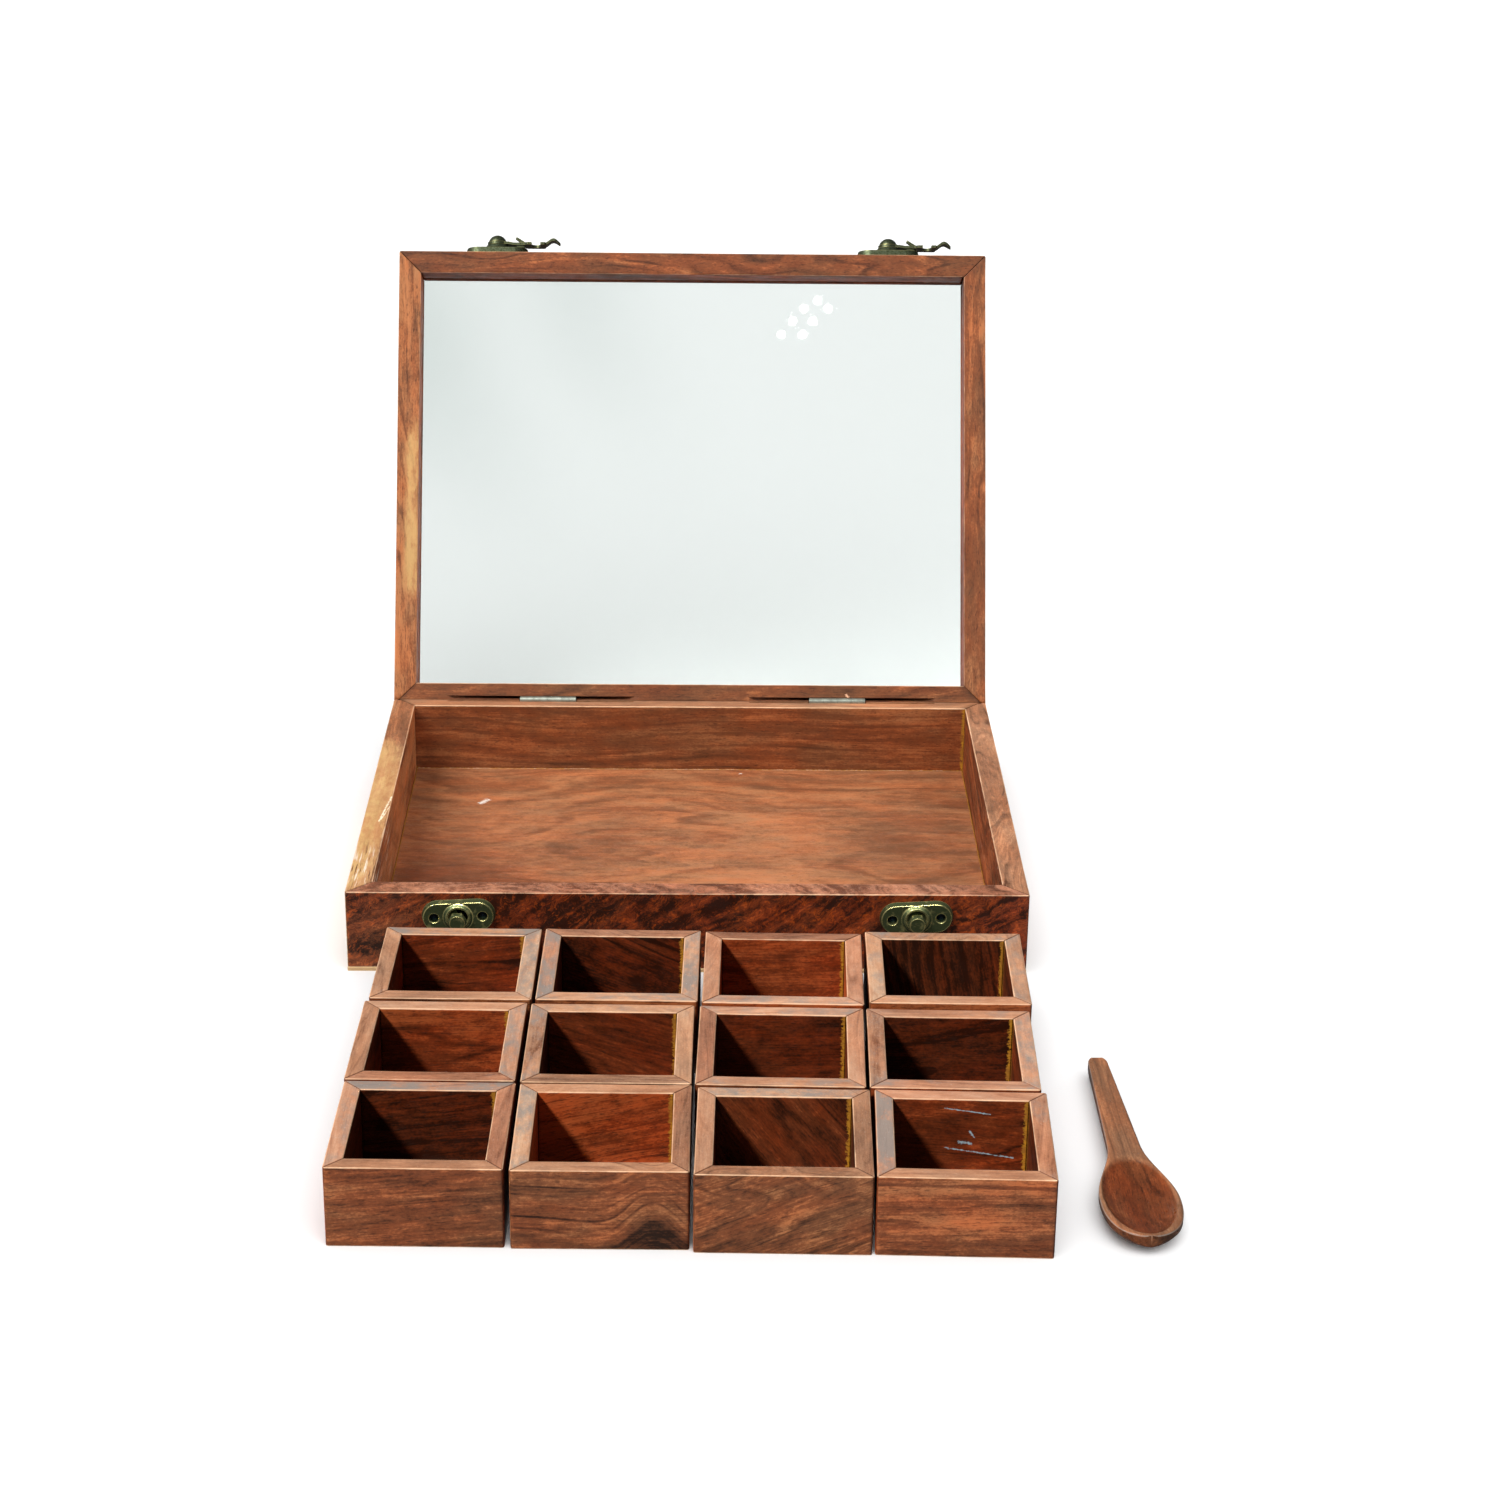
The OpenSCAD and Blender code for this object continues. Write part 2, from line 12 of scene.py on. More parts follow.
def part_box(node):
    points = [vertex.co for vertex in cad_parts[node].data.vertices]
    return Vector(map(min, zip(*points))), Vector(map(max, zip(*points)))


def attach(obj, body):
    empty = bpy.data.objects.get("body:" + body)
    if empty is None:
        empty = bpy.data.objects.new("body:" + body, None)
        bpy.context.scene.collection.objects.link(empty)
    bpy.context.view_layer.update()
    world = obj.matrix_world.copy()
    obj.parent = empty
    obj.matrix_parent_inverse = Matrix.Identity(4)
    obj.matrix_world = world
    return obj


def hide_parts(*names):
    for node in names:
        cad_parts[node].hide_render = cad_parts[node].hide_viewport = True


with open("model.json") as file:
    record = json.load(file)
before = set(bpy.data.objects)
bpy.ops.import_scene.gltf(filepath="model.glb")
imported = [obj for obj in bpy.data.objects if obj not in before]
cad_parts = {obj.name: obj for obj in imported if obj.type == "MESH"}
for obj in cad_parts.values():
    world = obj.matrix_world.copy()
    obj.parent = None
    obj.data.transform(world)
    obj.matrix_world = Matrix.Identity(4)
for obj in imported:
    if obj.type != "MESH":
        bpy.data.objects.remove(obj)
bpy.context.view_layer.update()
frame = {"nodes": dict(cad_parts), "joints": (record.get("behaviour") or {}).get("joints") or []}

bl_info = {
    "name": "Wooden tea bag box",
    "version": (1, 0, 0),
    "blender": (4, 5, 0),
    "location": "3D View > Sidebar > Tea box",
    "description": "Dresses a mitred tea bag box, its glazed lid, twelve cups and a spoon over the CAD frame",
    "category": "Object",
}

MM = 0.001        # a millimetre in metres


def corners(node):
    """Lowest and highest corner of a CAD node at rest, as arrays, in metres."""
    low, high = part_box(node)
    return np.array(low, float), np.array(high, float)


def linear(hex_colour):
    """An sRGB hex colour as linear red, green and blue: a straight line below 0.04045, and a power of 2.4
    above it."""
    parts = [int(hex_colour[i:i + 2], 16) / 255 for i in (1, 3, 5)]
    return tuple(p / 12.92 if p <= 0.04045 else ((p + 0.055) / 1.055) ** 2.4 for p in parts)


LID_JOINT = next(j for j in frame["joints"] if j["name"] == "lid_hinge")
HINGE = np.array(LID_JOINT["pos_m"], float)
LID_OPEN = math.radians(LID_JOINT["range_deg"][1])
FRONT_LOW, FRONT_HIGH = corners("box_front_wall")
BOX_W = float(corners("box_right_wall")[1][0] - corners("box_left_wall")[0][0])
BOX_D = float(corners("box_back_wall")[1][1] - FRONT_LOW[1])
BOX_H = float(FRONT_HIGH[2])
WALL_T = float(FRONT_HIGH[1] - FRONT_LOW[1])
SHEET_T = float(FRONT_LOW[2])
FLOOR_TOP = float(corners("floor_board")[1][2])
LID_Z = float(2 * HINGE[2] - BOX_H)
CUPS = [f"cup_{i:02d}" for i in range(1, 13)]

# ---------------------------------------------------------------- what a user may change


def length(name, description, default, low, high):
    """A length in metres, as a property."""
    return FloatProperty(name=name, description=description, default=default, min=low, max=high,
                         unit="LENGTH", subtype="DISTANCE", precision=5)


def colour(name, description, hex_colour):
    """A colour property whose default is an sRGB hex colour."""
    return FloatVectorProperty(name=name, description=description, default=linear(hex_colour),
                               min=0.0, max=1.0, size=3, subtype="COLOR")


class TEABOX_PG_sizes(PropertyGroup):
    lid_height: length("Lid height", "Height of the lid frame", 18 * MM, 17 * MM, 30 * MM)
    pane_in: length("Pane depth", "How far the pane lies in from the lid's inner rim",
                    12 * MM, 8 * MM, 13 * MM)
    pane_thick: length("Pane thickness", "Thickness of the clear pane", 2 * MM, 1 * MM, 4 * MM)
    pane_groove: length("Groove depth", "Depth of the groove that holds the pane", 3 * MM, 2 * MM, 5 * MM)
    board_ease: length("Board edge", "Radius to which the long edges of the box and lid are sanded",
                       0.55 * MM, 0.1 * MM, 2 * MM)
    cup_ease: length("Cup edge", "Radius to which the edges of the cups are sanded",
                     0.6 * MM, 0.1 * MM, 2 * MM)
    corner_ease: length("Corner", "Radius of the sanded upright corners", 1.1 * MM, 0.2 * MM, 3 * MM)
    hand_sway: length("Sway", "How far hand sanding leaves a face off true", 0.09 * MM, 0, 0.3 * MM)
    cup_wall: length("Cup wall", "Thickness of a cup's walls", 6 * MM, 4 * MM, 9 * MM)
    fitting_ease: length("Fitting edge", "Radius of the tumbled edges of the brass fittings",
                         0.22 * MM, 0.05 * MM, 0.6 * MM)
    spoon_length: length("Spoon length", "Length of the spoon", 118 * MM, 90 * MM, 150 * MM)
    spoon_bowl_front: length("Bowl front", "From the widest place of the bowl to its tip",
                             22.5 * MM, 18 * MM, 30 * MM)
    spoon_bowl_width: length("Bowl width", "Width of the bowl", 26.2 * MM, 20 * MM, 34 * MM)
    spoon_handle_width: length("Handle width", "Width of the handle at its end", 6.6 * MM, 5 * MM, 9 * MM)
    spoon_neck_width: length("Neck width", "Width of the handle where it meets the bowl",
                             11 * MM, 9 * MM, 14 * MM)
    spoon_height: length("Spoon height", "Height of the spoon", 7.5 * MM, 6 * MM, 12 * MM)
    spoon_hollow: length("Hollow", "Depth of the hollow in the bowl", 4 * MM, 2 * MM, 4.5 * MM)
    spoon_rim: length("Rim", "Width of the flat rim around the hollow", 1.3 * MM, 1 * MM, 3 * MM)


class TEABOX_PG_colours(PropertyGroup):
    streak: colour("Dark streak", "Near black streaks of the rosewood", "#2b1910")
    heart: colour("Heartwood", "Red brown body of the rosewood", "#774529")
    light: colour("Light heartwood", "Orange brown bands of the rosewood", "#b07046")
    flame: colour("Burl flame", "Orange flames of the burl wood", "#9c420e")
    sap: colour("Sapwood", "Pale sapwood at a board's edge", "#c4a065")
    rubbed_dark: colour("Rubbed streak", "Dark lines where the polish is sanded off", "#7c4d35")
    rubbed: colour("Rubbed wood", "Wood where the polish is sanded off", "#cf9771")
    # the palest line along the edges: partly worn wood, partly a painted highlight
    edge: colour("Worn edge", "Palest line along the worn edges", "#f4c8a0")
    film: colour("Dust film", "Grey polish dust left on the rims", "#8b8680")
    glue: colour("Glue dust", "Sawdust caught in glue in the corners", "#c8902c")
    ply: colour("Plywood", "Pale sheet under the box", "#d3b384")
    patina: colour("Brass patina", "Olive tarnish of the brass", "#3d4429")
    verdigris: colour("Grey green tarnish", "Cooler tarnish on the latches", "#68705a")
    # bright brass for worn edges, also used as a painted highlight along them
    brass: colour("Worn brass", "Bright edges of the brass", "#f2e59a")
    zinc: colour("Zinc", "Pale zinc plate of the hinges", "#ccd2c2")
    steel: colour("Blued steel", "Blued nail heads", "#1f2f38")
    glass: colour("Pane", "Clear pane of the lid", "#dde2e0")
    # painted reflection: grey-blue bands in a corner of the pane
    reflection_bands: colour("Pane haze", "Wiped bands in a corner of the pane", "#c3cbc8")
    table: colour("Floor", "Plain pale floor", "#f6f6f6")


def sizes():
    """The sizes that the user has set."""
    return bpy.context.scene.teabox_sizes


def shade(name):
    """A named colour with full alpha."""
    return (*getattr(bpy.context.scene.teabox_colours, name), 1.0)


# ---------------------------------------------------------------- meshes


def write_marks(mesh, marks):
    """Gives the mesh one value or vector per point for each mark."""
    for key, values in marks.items():
        kind, field = ("FLOAT", "value") if values.ndim == 1 else ("FLOAT_VECTOR", "vector")
        mesh.attributes.new(key, kind, "POINT").data.foreach_set(field, values.astype(np.float32).ravel())


def put_mesh(name, mesh, material, body, node):
    """Makes a mesh a piece that rides on a body and stands for a CAD node."""
    mesh.materials.clear()
    mesh.materials.append(material)
    piece = bpy.data.objects.new(name, mesh)
    bpy.context.scene.collection.objects.link(piece)
    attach(piece, body)
    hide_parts(node)
    return piece


def put_piece(name, points, faces, marks, material, body, node, flat):
    """Puts points and faces into a new piece. The last `flat` faces stay flat and the rest are smooth."""
    mesh = bpy.data.meshes.new(name)
    mesh.from_pydata(points.tolist(), [], faces)
    write_marks(mesh, marks)
    smooth = np.ones(len(faces), bool)
    smooth[-flat:] = False
    mesh.polygons.foreach_set("use_smooth", smooth)
    mesh.update()
    return put_mesh(name, mesh, material, body, node)


def loop_faces(rows, count, start=0):
    """Quads between neighbouring rows of a closed loop, row by row, and a flat face for each end."""
    index = start + np.arange(rows * count).reshape(rows, count)
    ahead = np.roll(index, -1, axis=1)
    quads = np.stack([index[:-1], index[1:], ahead[1:], ahead[:-1]], axis=-1).reshape(-1, 4).tolist()
    return quads, [index[0].tolist(), index[-1][::-1].tolist()]


def graded(size, near, step):
    """Places along a length, without its ends: close together near both ends, then a step apart."""
    near = [d for d in near if d < size / 2 - 0.2 * MM]
    first = near[-1] if near else 0.0
    count = max(1, math.ceil((size - 2 * first) / step))
    middle = first + (size - 2 * first) * np.arange(count + 1) / count
    places = np.concatenate([near, middle, size - np.array(near, float)])
    return np.unique(np.round(places[(places > 1e-6) & (places < size - 1e-6)], 7))


def eased_outline(points, ease, step):
    """Outline of a section: straight sides between the given points, each corner eased by a curve that
    blends the two sides (quadratic, from one tangent point over the corner to the other)."""
    points = np.array(points, float)
    out = []
    for before, here, after in zip(np.roll(points, 1, axis=0), points, np.roll(points, -1, axis=0)):
        to_before, to_after = before - here, after - here
        side = np.linalg.norm(to_after)
        reach = min(ease, 0.4 * np.linalg.norm(to_before), 0.4 * side)
        start = here + to_before / np.linalg.norm(to_before) * reach
        end = here + to_after / side * reach
        t = np.linspace(0, 1, 5)[:, None]
        out.append((1 - t) ** 2 * start + 2 * t * (1 - t) * here + t ** 2 * end)
        places = graded(side - reach - min(ease, 0.4 * side), NEAR_EDGE, step)
        out.append(end + to_after / side * places[:, None])
    return np.concatenate(out)


def merged_copy(node):
    """The CAD node's mesh as a bmesh, its loose triangles merged and its flat faces joined."""
    work = bmesh.new()
    work.from_mesh(frame["nodes"][node].data)
    bmesh.ops.remove_doubles(work, verts=work.verts, dist=2e-6)
    bmesh.ops.dissolve_limit(work, angle_limit=math.radians(0.4), verts=work.verts, edges=work.edges)
    return work


def finish_copy(work, name, material, body, node, ease, marks=None):
    """An eased piece from a bmesh: smooth faces, and a small bevel on the edges sharper than 30 degrees."""
    sharp = math.radians(30)
    for face in work.faces:
        face.smooth = True
    for edge in work.edges:
        edge.smooth = len(edge.link_faces) == 2 and edge.calc_face_angle(0) < sharp
    mesh = bpy.data.meshes.new(name)
    work.to_mesh(mesh)
    work.free()
    write_marks(mesh, marks or {})
    piece = put_mesh(name, mesh, material, body, node)
    bevel = piece.modifiers.new("eased", "BEVEL")
    bevel.width = ease
    bevel.segments = 2
    bevel.limit_method = "ANGLE"
    bevel.angle_limit = sharp
    bevel.harden_normals = True
    bevel.use_clamp_overlap = True
    return piece


def mesh_points(mesh):
    """A mesh's vertices as an array."""
    flat = np.empty(len(mesh.vertices) * 3)
    mesh.vertices.foreach_get("co", flat)
    return flat.reshape(-1, 3)


# ---------------------------------------------------------------- boards


# What a board is like unless its own entry says otherwise.
BOARD = {
    "lid": False, "yaw": 0.0, "at": (0.0, 0.0, 0.0), "turn": 0.0,
    "back_bevel": 0,           # 1 where its top is cut off behind the hinge line, -1 its underside
    "mitre": 0.0,              # how much shorter each end gets per depth
    "cut": 0.0,                # what a saw took off each end
    "corner": 1 * MM,          # radius of the outer upright corners
    "sway": 0.0,               # how far sanding leaves a face off true
    "step": 4 * MM, "stride": 3 * MM,       # spacing of points round the section and along the board
    "slope": 0.0,              # turn of the grain in the outer face, in degrees
    "pith": (30 * MM, 20 * MM, 0.1, 0.05, 3 * MM),      # pith line: y and z, slant in y and z, ring width
    "waver": 1.5 * MM,         # how far the pith line wavers
    "knot": (0.0, 0.0, 1.0),   # place along the board, height and width
    "figure": (1.0, 0.5),      # how far the rings wander, and how dark their lines are
    "tone": (0.0, 0.0, 0.5),   # lightness, redness, and how rubbed its top is
    # deep is painted shade on the inner face (painted light where negative); deep_red makes that face redder,
    # partly painted bounce light and partly redder polish
    "deep": 0.0, "deep_red": 0.7,           # how much darker and redder its inner face is
    # paler edges: partly wear and partly a painted highlight
    "edge_width": 0.5 * MM, "edge_wear_and_highlight": 1.0,           # width and strength of its worn edges
    "seam": 1.0,               # how dark its joints are
    "dust": (0.0, 0.0),        # glue dust in the inner corner at either end
    "foot": 0.0, "foot_dust": 0.0,          # height of the floor against it, and glue dust along it
    "border": 0.0, "border_dust": 0.0,      # the same round a floor board, that far in
    "spots": (),               # centre, reach, how much lighter and how much redder
    "sap": (),                 # place along and depth, with a reach each, and strength
    "torn": (),                # the same for torn fibres
}
# Points within the first length of an end keep their spacing when a mitre shifts that end, and the ends are
# rounded over the second length.
END_ZONE, END_ROUND = 12 * MM, 0.5 * MM
# Distances of the closer points from an edge, and from a board's end.
NEAR_EDGE = [0.4 * MM, 1.2 * MM, 3 * MM]
NEAR_END = [0.1 * MM, 0.25 * MM, 0.5 * MM, 1 * MM, 1.7 * MM, 2.5 * MM, 4 * MM, 6.5 * MM]


def carried_board(board):
    """A board as its section carried along its length. Local x runs along the board, y from its outer face
    inwards and z up. With a mitre, the half length shrinks by the depth y. Rows crowd near the ends,
    the ends are rounded in by a quarter circle, and the outer upright corner is pulled onto a circle.
    Sanding sways the top and the outer face by two sines each, fading out near the edges and ends.
    Returns points as rows by section points by 3, and each point's distance from the nearer end."""
    size = board["length"]
    outline = eased_outline(board["outline"], board["ease"], board["step"])
    far = np.concatenate([[0.0], graded(size, NEAR_END, board["stride"]), [size]])[:, None]
    y = np.repeat(outline[None, :, 0], len(far), axis=0)
    z = np.repeat(outline[None, :, 1], len(far), axis=0)
    half = size / 2 - board["mitre"] * y - board["cut"]
    zone = min(END_ZONE, size / 5)
    x = (np.clip(far, 0, zone) + np.clip((far - zone) / (size - 2 * zone), 0, 1) * (2 * half - 2 * zone)
         + np.clip(far - (size - zone), 0, zone) - half)
    from_end = np.minimum(far, size - far) + 0 * y
    circle = END_ROUND - np.sqrt(np.maximum(END_ROUND ** 2 - (END_ROUND - from_end) ** 2, 0))
    inset = 0.6 * np.where(from_end < END_ROUND, circle, 0)
    low, high = outline.min(axis=0), outline.max(axis=0)
    y = np.clip(y, low[0] + inset, high[0] - inset)
    z = np.clip(z, low[1] + inset, high[1] - inset)
    if board["mitre"]:
        corner = board["corner"]
        a, b = corner - (size / 2 - np.abs(x)), corner - y
        reach = np.hypot(a, b)
        pull = np.where((a > 0) & (b > 0) & (reach > corner), corner / np.maximum(reach, 1e-9), 1.0)
        x = np.sign(x) * (size / 2 - corner + a * pull) * (pull < 1) + x * (pull == 1)
        y = np.where(pull < 1, corner - b * pull, y)
    phase, sway = board["seed"] * 1.7, board["sway"] * np.clip(from_end / (8 * MM), 0, 1)
    top = np.clip((z - high[1] + 3 * MM) / (3 * MM), 0, 1)
    outer = np.clip(1 - y / (3 * MM), 0, 1)
    waves = np.sin(x / (21 * MM) + phase) + 0.6 * np.sin(x / (9 * MM) + 2.1 * phase) - 1.0
    z = z + 0.6 * sway * top * waves
    waves = np.sin(x / (26 * MM) + 3 * phase) + 0.5 * np.sin(z / (7 * MM) + phase) + 1.2
    y = y + 0.5 * sway * outer * waves
    return np.stack([x, y, z], axis=-1), from_end


def board_shift(seed):
    """Each board's own place in the wood patterns, from its number."""
    return np.array([0.37 * seed, 0.11 * math.sin(5.1 * seed), 0.13 * math.cos(3.3 * seed)])


def board_marks(local, from_end, board):
    """Marks for the wood, point by point, from the place in the board.
    grain: the local place, turned by the slope and moved by the board's own shift.
    ring: distance from a slanting, wavering pith line over the ring width. A knot lifts the rings by a bell
    curve along the board.
    wear: closeness to a long edge, for worn edges that are partly a painted highlight, glue dust in the inner
    corners, and pale sapwood.
    tone: lightness, darkened on the inner face as painted shade; redness, raised on the inner face partly as
    painted bounce light and partly as redder polish; and how rubbed the upward face is.
    figure: how far the rings wander, how dark their lines are, and torn fibres.
    seam: closeness to a joint.
    Closeness falls off exponentially, and spots are bell curves."""
    x, y, z = local.T
    low, high = np.min(board["outline"], axis=0), np.max(board["outline"], axis=0)
    seed, slope, middle = board["seed"], math.radians(board["slope"]), (low[1] + high[1]) / 2
    run = x * math.cos(slope) + (z - middle) * math.sin(slope)
    rise = middle + (z - middle) * math.cos(slope) - x * math.sin(slope)

    pith_y, pith_z, slant_y, slant_z, ring_width = board["pith"]
    knot_x, knot_high, knot_wide = board["knot"]
    bell = knot_high * np.exp(-((x - knot_x) / knot_wide) ** 2)
    lifted = rise - bell * (1 - 0.45 * (z - low[1]) / (high[1] - low[1]))
    dy = y - pith_y + slant_y * x + board["waver"] * np.sin(x / (27 * MM) + seed)
    dz = lifted - pith_z + slant_z * x + board["waver"] * np.sin(x / (19 * MM) + 2 * seed)
    knot_dark = np.clip((0.8 * bell - (z - low[1])) / (3 * MM) + 0.5, 0, 1) * (knot_high > 0)

    sides = np.sort(np.abs([y - low[0], high[0] - y, z - low[1], high[1] - z]), axis=0)
    edge = np.exp(-sides[1] / board["edge_width"]) * board["edge_wear_and_highlight"]
    inner = np.clip(1 - (high[0] - y) / (0.4 * MM), 0, 1) * np.clip((high[1] - z) / (0.5 * MM), 0, 1)
    upward = np.clip(1 - (high[1] - z) / (0.35 * MM), 0, 1)

    in_corner = inner * np.clip(1.3 - from_end / (3.2 * MM), 0, 1.25) * np.where(x < 0, *board["dust"])
    at_foot = inner * board["foot_dust"] * np.clip(1 - (z - board["foot"]) / (1.2 * MM), 0, 1)
    border = np.minimum(np.minimum(y - low[0], high[0] - y), from_end) - board["border"]
    round_floor = board["border_dust"] * np.clip(1 - border / (1.4 * MM), 0, 1)
    dust = np.maximum(np.maximum(in_corner, at_foot), round_floor)

    sap, torn = np.zeros_like(x), np.zeros_like(x)
    for along, spread, across, reach, strength in board["sap"]:
        far = np.hypot(np.maximum(np.abs(x - along) - 0.6 * spread, 0) / (0.4 * spread), (y - across) / reach)
        sap = np.maximum(sap, strength * np.clip(1.5 - far, 0, 1) * (1 - 0.9 * inner))
    for along, spread, across, reach, strength in board["torn"]:
        far = np.hypot((x - along) / spread, (y - across) / reach)
        torn = np.maximum(torn, strength * np.clip(1.4 - far, 0, 1))

    light, red, film = board["tone"]
    for centre, reach, lighter, redder in board["spots"]:
        near = np.exp(-sum(((value - mid) / wide) ** 2 for value, mid, wide in zip((x, y, z), centre, reach)))
        light, red = light + lighter * near, red + redder * near
    # painted shade: the inner face is darker by deep, and lighter where deep is negative
    light = light - 1.1 * knot_dark - board["deep"] * inner
    wander, lines = board["figure"]
    return {
        "grain": np.stack([run, y, rise], axis=-1) + board_shift(seed),
        "ring": np.hypot(dy, dz) / ring_width,
        "wear": np.stack([edge, dust, sap], axis=-1),
        # the inner face is redder by deep_red: partly painted bounce light between the walls, partly redder
        # polish
        "tone": np.stack([light, red + board["deep_red"] * inner, upward * film], axis=-1),
        "figure": np.stack([wander + 0 * x, lines + 0 * x, torn], axis=-1),
        "seam": np.exp(-from_end / (0.16 * MM)) * board["seam"] * (1 - inner),
    }


def lid_turned(points, angle):
    """Points turned with the lid about its hinge line."""
    return (points - HINGE) @ turn_x(angle).T + HINGE


def placed(local, board):
    """Local points of a board in the shared frame: turned about z to its side, cut by the back bevel where it
    has one, swung open with the lid or set down as a cup, and shifted."""
    out = (local + [0, board["face"], 0]) @ turn_z(board["turn"]).T
    behind = np.maximum(out[:, 1] - HINGE[1], 0) * np.tan(LID_OPEN / 2)
    if board["back_bevel"] > 0:
        out[:, 2] = np.minimum(out[:, 2], BOX_H - behind)
    if board["back_bevel"] < 0:
        out[:, 2] = np.maximum(out[:, 2], LID_Z + behind)
    if board["lid"]:
        out = lid_turned(out, -LID_OPEN)
    return out @ turn_z(board["yaw"]).T + board["at"]


def turn_z(angle):
    """Matrix of a turn about z."""
    c, s = math.cos(angle), math.sin(angle)
    return np.array([[c, -s, 0], [s, c, 0], [0, 0, 1]])


def turn_x(angle):
    """Matrix of a turn about x."""
    c, s = math.cos(angle), math.sin(angle)
    return np.array([[1, 0, 0], [0, c, -s], [0, s, c]])


def put_boards(name, boards, material, body, node):
    """One object from several carried boards."""
    points, faces, ends, marks, start = [], [], [], {}, 0
    for board in boards:
        local, from_end = carried_board(board)
        rows, count = local.shape[:2]
        quads, caps = loop_faces(rows, count, start)
        flat_local = local.reshape(-1, 3)
        for key, values in board_marks(flat_local, from_end.ravel(), board).items():
            marks.setdefault(key, []).append(values)
        points.append(placed(flat_local, board))
        faces += quads
        ends += caps
        start += rows * count
    marks = {key: np.concatenate(values) for key, values in marks.items()}
    put_piece(name, np.concatenate(points), faces + ends, marks, material, body, node, flat=len(ends))


# ---------------------------------------------------------------- materials


def add(tree, kind, inputs=(), stops=(), **settings):
    """Adds a node of that kind with its settings. Each input is a value, a socket, or a node, which means its
    first live output. Stops are the places and colours of a ramp."""
    node = tree.nodes.new("ShaderNode" + kind)
    for key, value in settings.items():
        setattr(node, key, value)
    for key, value in inputs.items() if isinstance(inputs, dict) else enumerate(inputs):
        if isinstance(value, bpy.types.Node):
            value = next(output for output in value.outputs if output.enabled)
        if isinstance(value, bpy.types.NodeSocket):
            tree.links.new(value, node.inputs[key])
        else:
            node.inputs[key].default_value = value
    for number, (place, tint) in enumerate(stops):
        elements = node.color_ramp.elements
        element = elements[number] if number < 2 else elements.new(place)
        element.position, element.color = place, tint
    return node


# Settings of the sums and of the colour mixes, whose inputs 0, 6 and 7 are the share and the two colours.
TIMES = {"operation": "MULTIPLY"}
PLUS = {"operation": "ADD"}
LESS = {"operation": "SUBTRACT"}
TIMES_PLUS = {"operation": "MULTIPLY_ADD"}
PAINT = {"data_type": "RGBA"}
TINT = {"data_type": "RGBA", "blend_type": "MULTIPLY"}


def new_material(name):
    """An empty material and its node tree."""
    material = bpy.data.materials.new(name)
    material.use_nodes = True
    material.node_tree.nodes.clear()
    return material, material.node_tree


def grey(value):
    """A linear grey with full alpha."""
    return (value, value, value, 1.0)


def blend(first, second, share):
    """A colour part of the way from the first to the second."""
    return tuple(a + (b - a) * share for a, b in zip(first, second))


# The noises of the wood: how many times longer along the grain, size across it, detail and roughness.
# The pores are really 0.3 mm across and 2.5 mm long, and are drawn 0.5 mm across so that they show.
WOOD_NOISES = {
    "drift": (6.5, 14 * MM, 2.0, 0.45),
    "gaps": (9, 7 * MM, 2.0, 0.55),
    "fibre": (38, 0.62 * MM, 3.0, 0.65),
    "pore": (6, 0.5 * MM, 1.0, 0.55),
    "mottle": (2.2, 2.8 * MM, 4.0, 0.68),
    "speck": (1.6, 0.65 * MM, 2.0, 0.7),
    "patch": (1.6, 5 * MM, 5.0, 0.68),
    "hue": (3.0, 9 * MM, 3.0, 0.6),
    "split": (18, 1.2 * MM, 3.0, 0.6),
}


